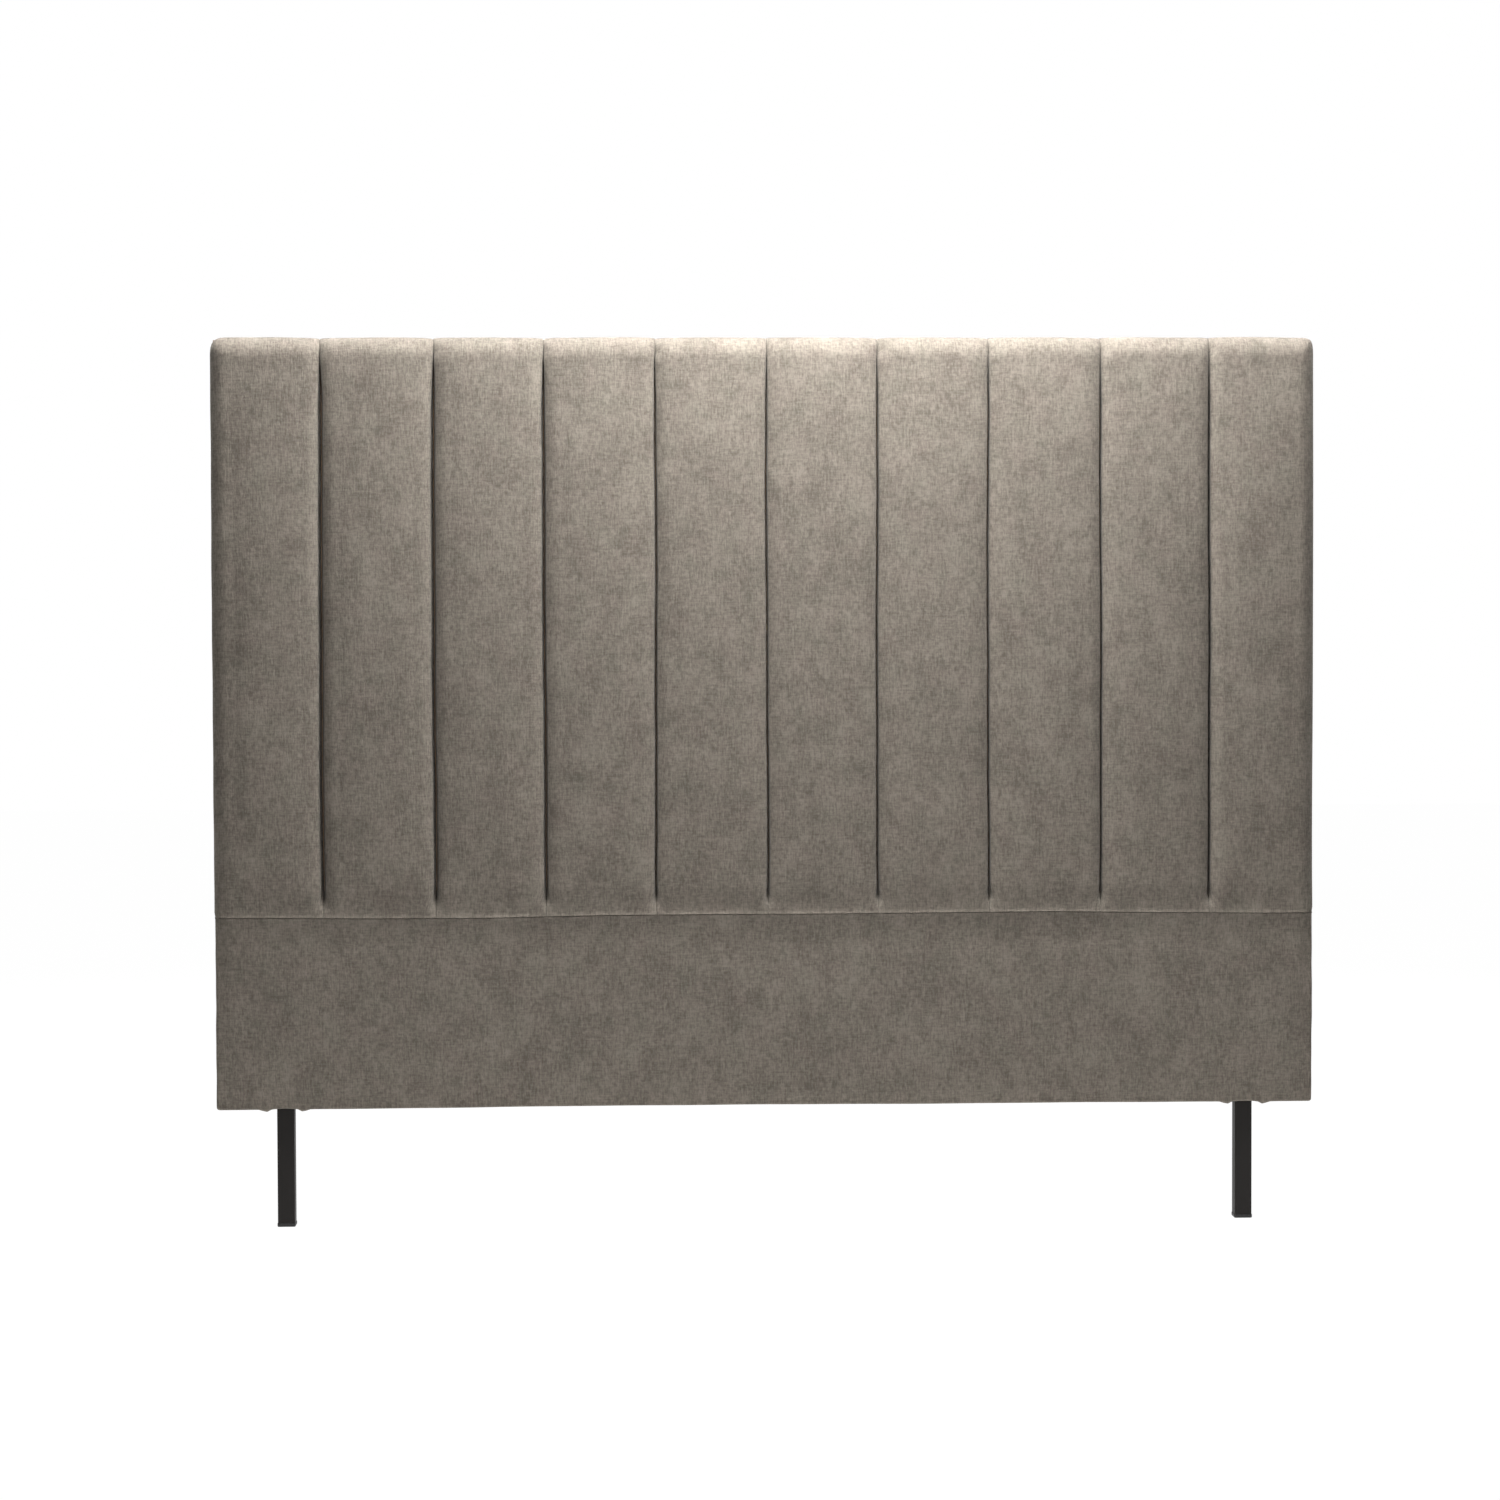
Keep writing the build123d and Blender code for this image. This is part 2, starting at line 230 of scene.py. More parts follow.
yellow_zinc = plated("yellow_zinc", (0.62, 0.50, 0.26), 0.28)
dress(yellow_zinc, "frame_screws")


# Boards
# Two sheets of hardboard on the frame's front, which the padding is glued to.
# They meet behind the long seam.

def hardboard():
    """Pressed wood fibre: brown, with a short tangled fibre and a waxy face."""
    finish = Finish("hardboard")
    place = finish.place()
    fibres = finish.noise(place, (0.004, 0.004, 0.0008), detail=5.0, roughness=0.7)
    clouds = finish.noise(place, (0.06, 0.06, 0.06))
    brown = finish.mix(fibres, (0.26, 0.15, 0.075), (0.46, 0.31, 0.18))
    return finish.surface(
        Base_Color=finish.mix(clouds * 0.4, brown, (0.30, 0.19, 0.10)),
        Roughness=0.5 + fibres * 0.2, Normal=finish.bump(fibres, 0.00015),
    )


dress(hardboard(), "upper_board", "lower_board")
dress(yellow_zinc, "board_screws")


# Edge wadding
# Strips of bonded polyester wadding, stapled over the frame's top and side edges.
# They keep the cover from showing the timber's corners.

def waves(points, seed, lengths, height):
    """A soft unevenness of points: a few waves in chance directions."""
    draw = np.random.default_rng(seed)
    total = np.zeros(points.shape[:-1])
    for length in lengths:
        way = draw.normal(size=3)
        way /= np.linalg.norm(way)
        total += np.sin(points @ way * (2 * math.pi / length) + draw.uniform(0, 2 * math.pi))
    return total * (height / len(lengths))


weld_distance = 0.00002


class Skin:
    """A surface sewn together from grids of points, each with its place on the flat cloth."""

    def __init__(self):
        self.points, self.faces, self.flat, self.folded = [], [], [], []
        self.count = 0

    def grid(self, points, flat=None, folded=None):
        """Adds a grid [row, column, xyz] that faces along column direction x row direction."""
        rows, columns = points.shape[:2]
        numbers = np.arange(rows * columns).reshape(rows, columns) + self.count
        corners = (numbers[:-1, :-1], numbers[:-1, 1:], numbers[1:, 1:], numbers[1:, :-1])
        self.points.append(points.reshape(-1, 3))
        self.faces.append(np.stack(corners, axis=-1).reshape(-1, 4))
        self.flat.append((np.zeros((rows, columns, 2)) if flat is None else flat).reshape(-1, 2))
        self.folded.append((np.zeros((rows, columns)) if folded is None else folded).ravel())
        self.count += rows * columns

    def piece(self, name, material, fill=False):
        """The surface as an object, with its meeting edges welded, and its open rims filled."""
        points, faces = np.concatenate(self.points), np.concatenate(self.faces)
        mesh = bpy.data.meshes.new(name)
        mesh.from_pydata(points.tolist(), [], faces.tolist())
        layer = mesh.uv_layers.new(name="weave")
        layer.data.foreach_set("uv", np.concatenate(self.flat)[faces.ravel()].ravel())
        # Painted crease shade: how deep each point lies in a crease, kept as a point attribute that
        # darkens the cloth's colour.
        layer = mesh.attributes.new("folded", "FLOAT", "POINT")
        layer.data.foreach_set("value", np.concatenate(self.folded))
        body = bmesh.new()
        body.from_mesh(mesh)
        bmesh.ops.remove_doubles(body, verts=body.verts, dist=weld_distance)
        bmesh.ops.dissolve_degenerate(body, dist=weld_distance, edges=body.edges)
        if fill:
            bmesh.ops.holes_fill(body, edges=body.edges)
            bmesh.ops.recalc_face_normals(body, faces=body.faces)
        body.to_mesh(mesh)
        body.free()
        mesh.polygons.foreach_set("use_smooth", [True] * len(mesh.polygons))
        mesh.materials.append(material)
        piece = bpy.data.objects.new(name, mesh)
        bpy.context.scene.collection.objects.link(piece)
        return piece


def baked(piece):
    """The piece with its modifiers worked into its mesh."""
    graph = bpy.context.evaluated_depsgraph_get()
    mesh = bpy.data.meshes.new_from_object(piece.evaluated_get(graph), depsgraph=graph)
    piece.modifiers.clear()
    piece.data = mesh
    return piece


def fibrous(name, colour, shade, grain, depth):
    """A matt mass of fine fibres or cells."""
    finish = Finish(name)
    place = finish.place()
    mass = finish.noise(place, (grain, grain, grain), detail=4.0, roughness=0.65)
    clouds = finish.noise(place, (0.03, 0.03, 0.03))
    return finish.surface(
        Base_Color=finish.mix(mass * 0.6 + clouds * 0.3, colour, shade),
        Roughness=0.95, Normal=finish.bump(mass, depth),
    )


wadding = fibrous("wadding", (0.88, 0.88, 0.86), (0.68, 0.68, 0.66), 0.0025, 0.0006)
wadding_step = 0.008
wadding_loft = 0.0006
loft_seed = 3
loft_waves = (0.03, 0.05, 0.11)
channel_count = 10
dent_pitch = 2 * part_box("upper_board")[1].x / channel_count
seam_dent = 0.0026
seam_dent_width = 0.016
band_press = 0.0014
band_press_reach = 0.030
band_low, band_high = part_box("lower_fabric")


def smooth(value, low, high):
    """0 up to low, 1 from high on, and an even S between them."""
    share = np.clip((value - low) / (high - low), 0, 1)
    return share * share * (3 - 2 * share)


def wadding_strip(node):
    """A strip in its node's place, soft and uneven outside, and pressed thin under the band."""
    low, high = (np.array(corner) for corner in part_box(node))
    middle = (low + high) / 2
    skin = Skin()
    for axis in range(3):
        right, up = (axis + 1) % 3, (axis + 2) % 3
        steps = [max(2, int((high[way] - low[way]) / wadding_step)) for way in (right, up)]
        across, along = np.meshgrid(
            np.linspace(low[right], high[right], steps[0] + 1),
            np.linspace(low[up], high[up], steps[1] + 1),
        )
        for level, turn in ((low[axis], True), (high[axis], False)):
            points = np.zeros((*across.shape, 3))
            points[..., axis] = level
            points[..., right] = across
            points[..., up] = along
            skin.grid(points[:, ::-1] if turn else points)
    for number, points in enumerate(skin.points):
        drawn_in = wadding_loft * (1 + waves(points, loft_seed, loft_waves, 1.0)) / 2
        points = points + np.sign(middle - points) * drawn_in[:, None]
        seam = np.round(points[:, 0] / dent_pitch) * dent_pitch
        dent = seam_dent * np.exp(-((points[:, 0] - seam) / seam_dent_width) ** 2)
        pressed = 1 - smooth(points[:, 2], band_high.z, band_high.z + band_press_reach)
        outside = np.abs(points[:, 0]) > abs(middle[0])
        if node == "edge_wadding_top":
            points[:, 2] -= np.where(points[:, 2] > middle[2], dent, 0)
        else:
            points[:, 0] -= np.sign(middle[0]) * np.where(outside, band_press * pressed, 0)
        skin.points[number] = points
    piece = skin.piece(node + "_strip", wadding)
    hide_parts(node)
    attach(piece, "root")


for side in ("top", "left", "right"):
    wadding_strip("edge_wadding_" + side)


# Channel foam
# Ten strips of polyurethane foam, glued to the upper board side by side.
# Their edges are rounded, and the top is rolled back over the board's edge.

cover_low, cover_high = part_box("fabric_channel_01")
panel_half = -cover_low.x
panel_top = cover_high.z
crown_y = cover_low.y
hem_z = cover_low.z
board_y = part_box("upper_board")[0].y
channel_pitch = 2 * panel_half / channel_count
seam_gap = 0.0001
cover_thickness = 0.0013
foam_clearance = 0.0018
glue_line = 0.0002
shoulder_width = 0.022
shoulder_depth = 0.0125
wall_depth = 0.0242
side_roll_radius = 0.024
top_roll_radius = 0.031
corner_powers = {-1: 3.0, 1: 4.2}
crown_height = 0.0036
crown_power = 2.4
crown_fade = 0.8
crown_fade_turn = 0.2
top_crease = 0.10
top_crease_turn = 0.1
edge_turns = (0.25, 0.9)
wall_steps = 4
arc_steps = 9
crown_steps = 28
row_step = 0.0036
seam_drift = 0.0007
drift_seed = 40
drift_waves = ((0.9, 1.0), (0.33, 0.5), (0.12, 0.22))
seam_offsets = (0, -0.0015, 0.0009, 0.0, 0.0006, 0.0018, 0.0018, 0.0033, 0.0073, 0.0058, 0)
slot_widths = (0, 0.0040, 0.0038, 0.0032, 0.0020, 0.0018, 0.0018, 0.0017, 0.0017, 0.0018, 0)
slot_start = 0.010
slot_full = 0.110
side_groove = 0.0011
side_groove_height = 0.007
sag_places = (-0.8, -0.72, -0.56, -0.40, -0.24, -0.08, 0.10, 0.25, 0.41, 0.58, 0.73, 0.8)
seam_sags = (0.0028, 0.003, 0.0048, 0.0046, 0.002, 0.0015, 0.0016, 0.001, 0.0002, 0.0026, 0.0043, 0.0044)
sag_reach = 0.09


def seam_line(number, z):
    """Where a seam runs at a height. The seams are sewn by hand and drift a little."""
    straight = number * channel_pitch - panel_half + seam_offsets[number]
    if number in (0, channel_count):
        return straight + 0 * z
    draw = np.random.default_rng(drift_seed + number)
    drift = 0
    for length, share in drift_waves:
        drift = drift + share * np.sin(2 * math.pi * z / length + draw.uniform(0, 2 * math.pi))
    return straight + seam_drift * drift


def seam_sag(place):
    """How far the long seam hangs under its straight line, fading out above and below it."""
    near = 1 - smooth(np.abs(place[..., 2] - hem_z), 0, sag_reach)
    return np.interp(place[..., 0], sag_places, seam_sags) * near


class Columns:
    """A channel's section from left to right, at each column: how much it keeps to the left
    seam, how far it lies from its seam where creased and where flat, how deep the crease is,
    and how far round the panel's side it has rolled."""

    def __init__(self, number):
        turns = np.linspace(0, math.pi / 2, arc_steps + 1)
        walls = np.linspace(wall_depth, shoulder_depth, wall_steps, endpoint=False)
        seam = {
            "reach": np.append(0 * walls, shoulder_width * (1 - np.cos(turns))),
            "drop": np.append(walls, shoulder_depth * (1 - np.sin(turns))),
            "flat": np.linspace(0, shoulder_width, wall_steps + arc_steps + 1),
            "roll": np.zeros(wall_steps + arc_steps + 1),
        }
        rolled = np.append(np.cos(turns[:-1]), 0)
        outside = {
            "reach": side_roll_radius * (1 - rolled), "drop": 0 * turns,
            "flat": side_roll_radius * (1 - rolled), "roll": rolled,
        }
        left = outside if number == 0 else seam
        right = outside if number == channel_count - 1 else seam
        middle = np.arange(1, crown_steps) / crown_steps
        for key in seam:
            between = left[key][-1] * (1 - middle) + right[key][-1] * middle
            setattr(self, key, np.concatenate([left[key], between, right[key][::-1]]))
        self.slot = np.minimum(1, self.drop / shoulder_depth)
        self.slot = self.slot * (1 - smooth(self.drop, shoulder_depth, wall_depth))
        self.left = np.concatenate(
            [np.ones(len(left["reach"])), 1 - middle, np.zeros(len(right["reach"]))]
        )
        self.side = np.where(self.left > 0.5, -1, 1)
        ends = seam_line(number, hem_z), seam_line(number + 1, hem_z)
        x = self.left * (ends[0] + self.reach) + (1 - self.left) * (ends[1] - self.reach)
        depth = self.drop + side_roll_radius * (1 - np.sqrt(1 - self.roll ** 2))
        steps = np.hypot(np.diff(x), np.diff(depth))
        self.cloth = x[len(x) // 2] + np.insert(np.cumsum(steps), 0, 0) - steps.sum() / 2


lip_radius = 0.0019
lip_under = 0.0004
lip_depth = 0.0050
lip_turn = math.radians(50)
lip_rows = 9
tuck_rows = 6
valley_rows = 17
over_rows = 12
tuck_depth = 0.0215
valley_depth = 0.0036
valley_rise = 0.0072
valley_end = 0.047
crease_start = 0.002
crease_full = 0.042
flat_start = 0.004
flat_end = 0.060
lip_dip = 0.0004
lip_dip_width = 0.007
pinch_depth = 0.0030
pinch_place = 0.017
pinch_height = 0.008
pinch_width = 0.012
pinch_swell = 0.6
pinch_seed = 60
pinch_strengths = (0.25, 1.0)
swell_place = 0.038
swell_height = 0.007
far = 10.0


class Rows:
    """A channel's lines from the hem up to the top: height, depth under the crown, strength of
    the creases, and how far over the top it has rolled."""

    def __init__(self):
        turns = np.linspace(-math.pi / 2, lip_turn, lip_rows)
        tuck = np.linspace(tuck_depth, lip_depth, tuck_rows, endpoint=False)
        face_top = panel_top - top_roll_radius
        valley = np.linspace(hem_z + valley_rise, hem_z + valley_end, valley_rows)
        face = np.linspace(
            hem_z + valley_end, face_top, int((face_top - hem_z - valley_end) / row_step)
        )[1:]
        over = np.linspace(0, math.pi / 2, over_rows + 1)[1:]
        self.z = np.concatenate([
            np.full(tuck_rows, hem_z),
            hem_z + lip_under + np.where(turns < 0, lip_under, lip_radius) * np.sin(turns),
            valley, face,
            face_top + top_roll_radius * np.sin(over),
        ])
        sunk = valley_depth * (1 - smooth(valley, valley[0], valley[-1]))
        self.sunk = np.concatenate([
            tuck, lip_depth - lip_radius * np.cos(turns), sunk, 0 * face, 0 * over
        ])
        self.roll = np.concatenate([np.zeros(len(self.z) - len(over)), np.sin(over)])
        self.over = np.concatenate([np.zeros(len(self.z) - len(over)), over])
        self.crease = smooth(self.z, hem_z + crease_start, hem_z + crease_full)
        over_top = smooth(self.over, top_crease_turn, math.pi / 2)
        self.crease = self.crease * (1 - (1 - top_crease) * over_top)
        depth = self.sunk + top_roll_radius * (1 - np.cos(self.over))
        steps = np.hypot(np.diff(self.z), np.diff(depth))
        self.cloth = self.z[0] + np.insert(np.cumsum(steps), 0, 0)


def eased(side, top, power):
    """How far round two edges a point is, eased where they meet so that the corner is round."""
    reach = np.maximum(side, top)
    total = (side ** power + top ** power) ** (1 / power)
    share = np.divide(reach, total, out=np.ones_like(reach), where=total > 0)
    return side * share, top * share, reach, np.sqrt(np.maximum(0, 1 - reach ** 2))


def facing_out(way_x, way_z, reach, lift):
    """The way a rolled edge faces: forwards on the flat, and outwards as it rolls."""
    length = np.hypot(way_x, way_z)
    length[length == 0] = 1
    return np.stack([way_x / length * reach, -lift, way_z / length * reach], axis=-1)


class ChannelForm:
    """The outside of one padded channel, drawn in by an inset."""

    def __init__(self, number, inset=0.0):
        self.number = number
        self.inset = inset
        self.columns = columns = Columns(number)
        self.rows = rows = Rows()
        z = rows.z[:, None]
        crease = rows.crease[:, None]
        gap = seam_gap / 2 + inset
        self.low = seam_line(number, z) + (gap if number > 0 else 0)
        self.high = seam_line(number + 1, z) - (gap if number < channel_count - 1 else 0)
        x = self.across(crease)
        self.shell(x, z + 0 * x)
        self.place[..., 2] -= seam_sag(self.place)
        self.depth = self.sink(x, crease) + inset
        self.front = self.place - self.facing * self.depth[..., None]

    def across(self, crease):
        """How far across each column lies, between two seams and for a strength of crease."""
        columns = self.columns
        creased = np.where(self.rows.over[:, None] > 0, 1, crease)
        reach = columns.flat + (columns.reach - columns.flat) * creased
        below_top = panel_top - self.rows.z[:, None]
        slot = columns.slot * np.where(
            columns.left > 0.5, slot_widths[self.number], slot_widths[self.number + 1]
        )
        reach = reach + slot * creased * smooth(below_top, slot_start, slot_full)
        return columns.left * (self.low + reach) + (1 - columns.left) * (self.high - reach)

    def shell(self, x, z):
        """The panel's rounded outside: where each point lies and which way it faces."""
        side = self.columns.roll + 0 * x
        top = self.rows.roll[:, None] + 0 * x
        corner = np.where(self.columns.side < 0, corner_powers[-1], corner_powers[1])
        side, top, reach, lift = eased(side, top, corner)
        rolled = self.columns.roll > 0
        edge = self.columns.side * (panel_half - side_roll_radius * (1 - side))
        x = np.where(rolled, edge, x)
        z = np.where(top > 0, panel_top - top_roll_radius * (1 - top), z)
        total = side ** 2 + top ** 2
        radius = np.divide(
            side_roll_radius * side ** 2 + top_roll_radius * top ** 2, total,
            out=np.full_like(total, top_roll_radius), where=total > 0,
        )
        self.place = np.stack([x, crown_y + radius * (1 - lift), z], axis=-1)
        self.facing = facing_out(
            self.columns.side * side ** (corner - 1) / side_roll_radius,
            top ** (corner - 1) / top_roll_radius, reach, lift,
        )

    def sink(self, x, crease):
        """How far the surface lies under the shell: crown, creases and hem."""
        middle = (self.low + self.high) / 2
        half = (self.high - self.low) / 2
        crown = crown_height * np.minimum(1, np.abs((x - middle) / half)) ** crown_power
        crown = crown * (1 - self.columns.roll ** 2)
        over_top = smooth(self.rows.over[:, None], crown_fade_turn, math.pi / 2)
        crown = crown * (1 - crown_fade * over_top)
        z = self.rows.z[:, None]
        crown = crown * smooth(z, hem_z + flat_start, hem_z + flat_end)
        to_left = x - self.low if self.number > 0 else far
        to_right = self.high - x if self.number < channel_count - 1 else far
        to_seam = np.minimum(to_left, to_right)
        lip = 1 - smooth(z, hem_z + 2 * lip_radius, hem_z + valley_rise)
        hem = self.rows.sunk[:, None] + lip_dip * lip * np.exp(-(to_seam / lip_dip_width) ** 2)
        groove = side_groove * (1 - smooth(z, hem_z, hem_z + side_groove_height))
        hem = hem + (groove - hem) * smooth(self.columns.roll, *edge_turns)
        below_top = panel_top - z
        pinch = np.exp(-((below_top - pinch_place) / pinch_height) ** 2)
        pinch = pinch - pinch_swell * np.exp(-((below_top - swell_place) / swell_height) ** 2)
        draw = np.random.default_rng(pinch_seed + self.number)
        strength = draw.uniform(*pinch_strengths)
        pinch = pinch_depth * strength * pinch * np.exp(-(to_left / pinch_width) ** 2)
        return crown + self.columns.drop * crease + hem + pinch


foam = fibrous("foam", (0.80, 0.74, 0.56), (0.62, 0.55, 0.36), 0.0011, 0.0004)


def foam_block(name, node, front):
    """Foam behind a front surface, back to the board that it is glued to."""
    skin = Skin()
    skin.grid(front)
    edges = (front[0, ::-1], front[:, 0], front[-1], front[::-1, -1])
    for edge in edges:
        glued = edge.copy()
        glued[:, 1] = board_y
        skin.grid(np.stack([edge, glued]))
    piece = skin.piece(name, foam, fill=True)
    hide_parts(node)
    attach(piece, "root")


for number in range(channel_count):
    form = ChannelForm(number, foam_clearance)
    label = str(number + 1).zfill(2)
    front = form.front.copy()
    front[..., 1] = np.minimum(front[..., 1], board_y - glue_line)
    foam_block("foam_strip_" + label, "foam_channel_" + label, front)


# Band foam
# One thinner sheet of foam on the lower board, which the plain band is stretched over.

band_roll_radius = 0.007
band_step = 0.006
band_draw_in = 0.0015
band_top_roll = 0.0004
band_tuck_depth = 0.0125
band_tuck_rows = 3
band_arc_rows = 7
band_face_rows = 46
band_foam_slack = 0.0006
band_rise = 0.0052
band_rise_reach = 0.250
seam_stand = 0.0045
seam_stand_reach = 0.022
sewn_reach = 0.020
sewn_end = 0.045
bottom_sag = 0.0020
bottom_sag_reach = 0.060
band_corner_power = 2.3
leg_low, leg_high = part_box("leg_left")
leg_middle = (leg_low.x + leg_high.x) / 2
slot_clearance = 0.0005


class BandForm:
    """The outside of the plain band, drawn in by an inset."""

    def __init__(self, inset=0.0):
        turns = np.linspace(0, math.pi / 2, band_arc_rows)
        rolled = np.cos(turns)
        edge = panel_half - band_roll_radius
        slots = [
            side * (leg_middle + way * ((leg_high.x - leg_low.x) / 2 + slot_clearance))
            for side in (-1, 1) for way in (-1, 1)
        ]
        stops = [-edge, *sorted(slots), edge]
        inner = np.concatenate([
            np.linspace(a, b, max(2, int((b - a) / band_step) + 1))[:-1]
            for a, b in zip(stops, stops[1:])
        ])[1:]
        outer = panel_half - band_roll_radius * (1 - rolled)
        x = np.concatenate([-outer, inner, outer[::-1]])
        side = np.concatenate([rolled, 0 * inner, rolled[::-1]])
        low, high = band_low.z, band_high.z
        z_low = low + band_roll_radius * (1 - rolled)
        face = np.linspace(low + band_roll_radius, high - band_top_roll, band_face_rows)[1:-1]
        z_high = high - band_top_roll * (1 - np.sin(turns))
        tuck = np.linspace(band_top_roll, band_tuck_depth, band_tuck_rows + 1)[1:]
        z = np.concatenate([z_low, face, z_high, np.full(band_tuck_rows, high)])
        self.bottom = np.concatenate([rolled, np.zeros(len(z) - len(rolled))])[:, None]
        sunk = band_top_roll * (1 - rolled)
        self.sunk = np.concatenate([0 * z_low, 0 * face, sunk, tuck])[:, None]
        self.x0, self.z0 = np.meshgrid(x, z)
        top = self.bottom + 0 * self.x0
        self.roll = side
        side = side + 0 * self.x0
        side, top, reach, lift = eased(side, top, band_corner_power)
        hand = np.sign(self.x0)
        x = np.where(side > 0, hand * (panel_half - band_roll_radius * (1 - side)), self.x0)
        z = np.where(top > 0, low + band_roll_radius * (1 - top), self.z0)
        self.place = np.stack([x, band_low.y + band_roll_radius * (1 - lift), z], axis=-1)
        self.place[..., 2] -= seam_sag(self.place)
        hung = 1 - smooth(self.z0, low, low + bottom_sag_reach)
        self.place[..., 2] -= bottom_sag * (1 + np.abs(self.x0) / panel_half) * hung
        self.facing = facing_out(
            hand * side ** (band_corner_power - 1), -(top ** (band_corner_power - 1)), reach, lift
        )
        sunk = self.sunk * (1 - smooth(side, *edge_turns))
        below = high - self.z0
        rise = band_rise * np.maximum(0, 1 - below / band_rise_reach)
        rise = rise + seam_stand * np.exp(-below / seam_stand_reach)
        lean = np.clip(1 - (panel_half - np.abs(self.x0)) / side_roll_radius, 0, 1)
        rise = np.maximum(0, rise - side_roll_radius * (1 - np.sqrt(1 - lean ** 2)))
        self.depth = sunk + inset + band_draw_in * reach ** 2 - rise * (1 - reach ** 2)
        self.front = self.place - self.facing * self.depth[..., None]


band_form = BandForm(foam_clearance + band_foam_slack)
front = band_form.front.copy()
front[..., 1] = np.minimum(front[..., 1], board_y - glue_line)
foam_block("foam_sheet_lower", "lower_foam", front)


# Legs
# Square steel tube, bolted to the leg blocks from behind, with a plastic cap pressed in below.
# The tube is powder coated black, with the coating's fine orange peel.

def powder_coat():
    """Black powder coating: a fine even peel, slightly rubbed."""
    finish = Finish("black_powder_coat")
    place = finish.place()
    peel = finish.noise(place, (0.0009, 0.0009, 0.0009), detail=1.5)
    rubbed = finish.noise(place, (0.02, 0.02, 0.07), detail=4.0)
    return finish.surface(
        Base_Color=finish.mix(rubbed * 0.6, (0.014, 0.012, 0.011), (0.026, 0.023, 0.021)),
        Roughness=0.45 + rubbed * 0.2, Specular_IOR_Level=0.22,
        Normal=finish.bump(peel, 0.00006),
    )


def moulded_plastic():
    """Black moulded plastic with a fine spark texture."""
    finish = Finish("moulded_plastic")
    place = finish.place()
    spark = finish.noise(place, (0.0004, 0.0004, 0.0004), detail=2.0)
    scuffs = finish.noise(place, (0.006, 0.006, 0.002), detail=4.0)
    return finish.surface(
        Base_Color=finish.mix(scuffs * 0.5, (0.016, 0.016, 0.016), (0.040, 0.039, 0.038)),
        Roughness=0.55 + scuffs * 0.2, Normal=finish.bump(spark, 0.00005),
    )


bright_zinc = plated("bright_zinc", (0.58, 0.59, 0.61), 0.25)
dress(powder_coat(), "leg_left", "leg_right")
dress(moulded_plastic(), "foot_cap_left", "foot_cap_right")
dress(bright_zinc, "leg_bolts", "leg_washers", "leg_rivet_nuts")


# Channel covers
# Ten strips of a woven taupe chenille, sewn edge to edge and drawn into the gaps of the foam.
# Each is pushed out by its foam, rolled over the top, turned in and stapled behind.

wrap_back = cover_high.y
back_edge_radius = 0.003
turn_in = 0.043
wrap_step = 0.006
back_arc_rows = 3
turn_in_rows = 8
kept_crease = 0.6
kept_crease_reach = 0.6
pucker_seed = 70
pucker_reach = 0.011
pucker_height = 0.0007
pucker_waves = (0.021, 0.034, 0.055)
pucker_stretch = (0.25, 0, 1)
soft_seed = 90
soft_height = 0.0006
soft_waves = (0.07, 0.11, 0.16, 0.24)
open_depths = (0.006, 0.018)
strip_length = 3.7
cloth_quality = 5
cloth_frames = 20
cloth_stiffness = 80.0
cloth_bending = 0.5
foam_pressure = 4.0
seam_fullness = 0.012
fullness_reach = 0.012
sewn_depth = 0.006
sewn_roll = 0.7
simulated_roll = 0.93
least_weight = 0.01
swell_room = 0.0016
most_shift = 0.0032
foam_give = 0.0004

# Painted shade in the creases: the crease depths over which the cloth's colour darkens, and by how much.
painted_shade_depths = (0.0065, 0.0155)
painted_shade_strength = 0.55
warp_width = 0.0013
weft_width = 0.0015


def chenille():
    """A taupe chenille weave on the cloth's own UV: streaky warp, slubs and faint clouds, darkened by
    painted shade where the cloth lies deep in a crease.
    """
    finish = Finish("taupe_chenille")
    cloth = finish.node("ShaderNodeUVMap", {"uv_map": "weave"})
    warp = (finish.along(cloth, "X") * (2 * math.pi / warp_width)).math("SINE") * 0.5 + 0.5
    weft = (finish.along(cloth, "Y") * (2 * math.pi / weft_width)).math("SINE") * 0.5 + 0.5
    streaks = finish.noise(cloth, (0.0025, 0.017, 1.0), detail=2.5, roughness=0.6)
    fine = finish.noise(cloth, (0.0014, 0.005, 1.0), detail=1.5)
    slubs = finish.noise(cloth, (0.014, 0.0021, 1.0), detail=1.5)
    mottle = finish.noise(cloth, (0.0070, 0.0060, 1.0), detail=3.0, roughness=0.6)
    patches = finish.noise(cloth, (0.020, 0.030, 1.0), detail=2.0)
    clouds = finish.noise(cloth, (0.060, 0.090, 1.0), detail=2.0)
    tint = finish.noise(cloth, (0.035, 0.045, 1.0), detail=3.0)
    tone = (
        0.5 + (streaks - 0.5) * 1.65 + (mottle - 0.5) * 1.5 + (fine - 0.5) * 0.9
        + (slubs - 0.5) * 0.85 + (patches - 0.5) * 0.9 + (clouds - 0.5) * 0.9
    )
    yarn = finish.mix(tone, (0.151, 0.128, 0.1055), (0.348, 0.306, 0.256))
    leaning = finish.mix(
        (tint - 0.5) * 2.4 + 0.5, finish.mix(0.5, yarn, (0.235, 0.232, 0.190)),
        finish.mix(0.5, yarn, (0.250, 0.208, 0.185)),
    )
    # Painted shade: the colour turns towards a dark brown where the cloth lies deep in a crease.
    folded = finish.node("ShaderNodeAttribute", {"attribute_name": "folded"}, output="Fac")
    colour = finish.mix(folded * painted_shade_strength, finish.mix(0.45, yarn, leaning), (0.050, 0.038, 0.028))
    height = warp * 0.35 + weft * 0.15 + streaks * 1.2 + mottle * 0.8
    return finish.surface(
        Base_Color=colour, Roughness=0.92, Specular_IOR_Level=0.05,
        Sheen_Weight=0.30, Sheen_Roughness=0.45, Sheen_Tint=(0.82, 0.80, 0.75),
        Normal=finish.bump(height, 0.00055),
    )


cover_cloth = chenille()


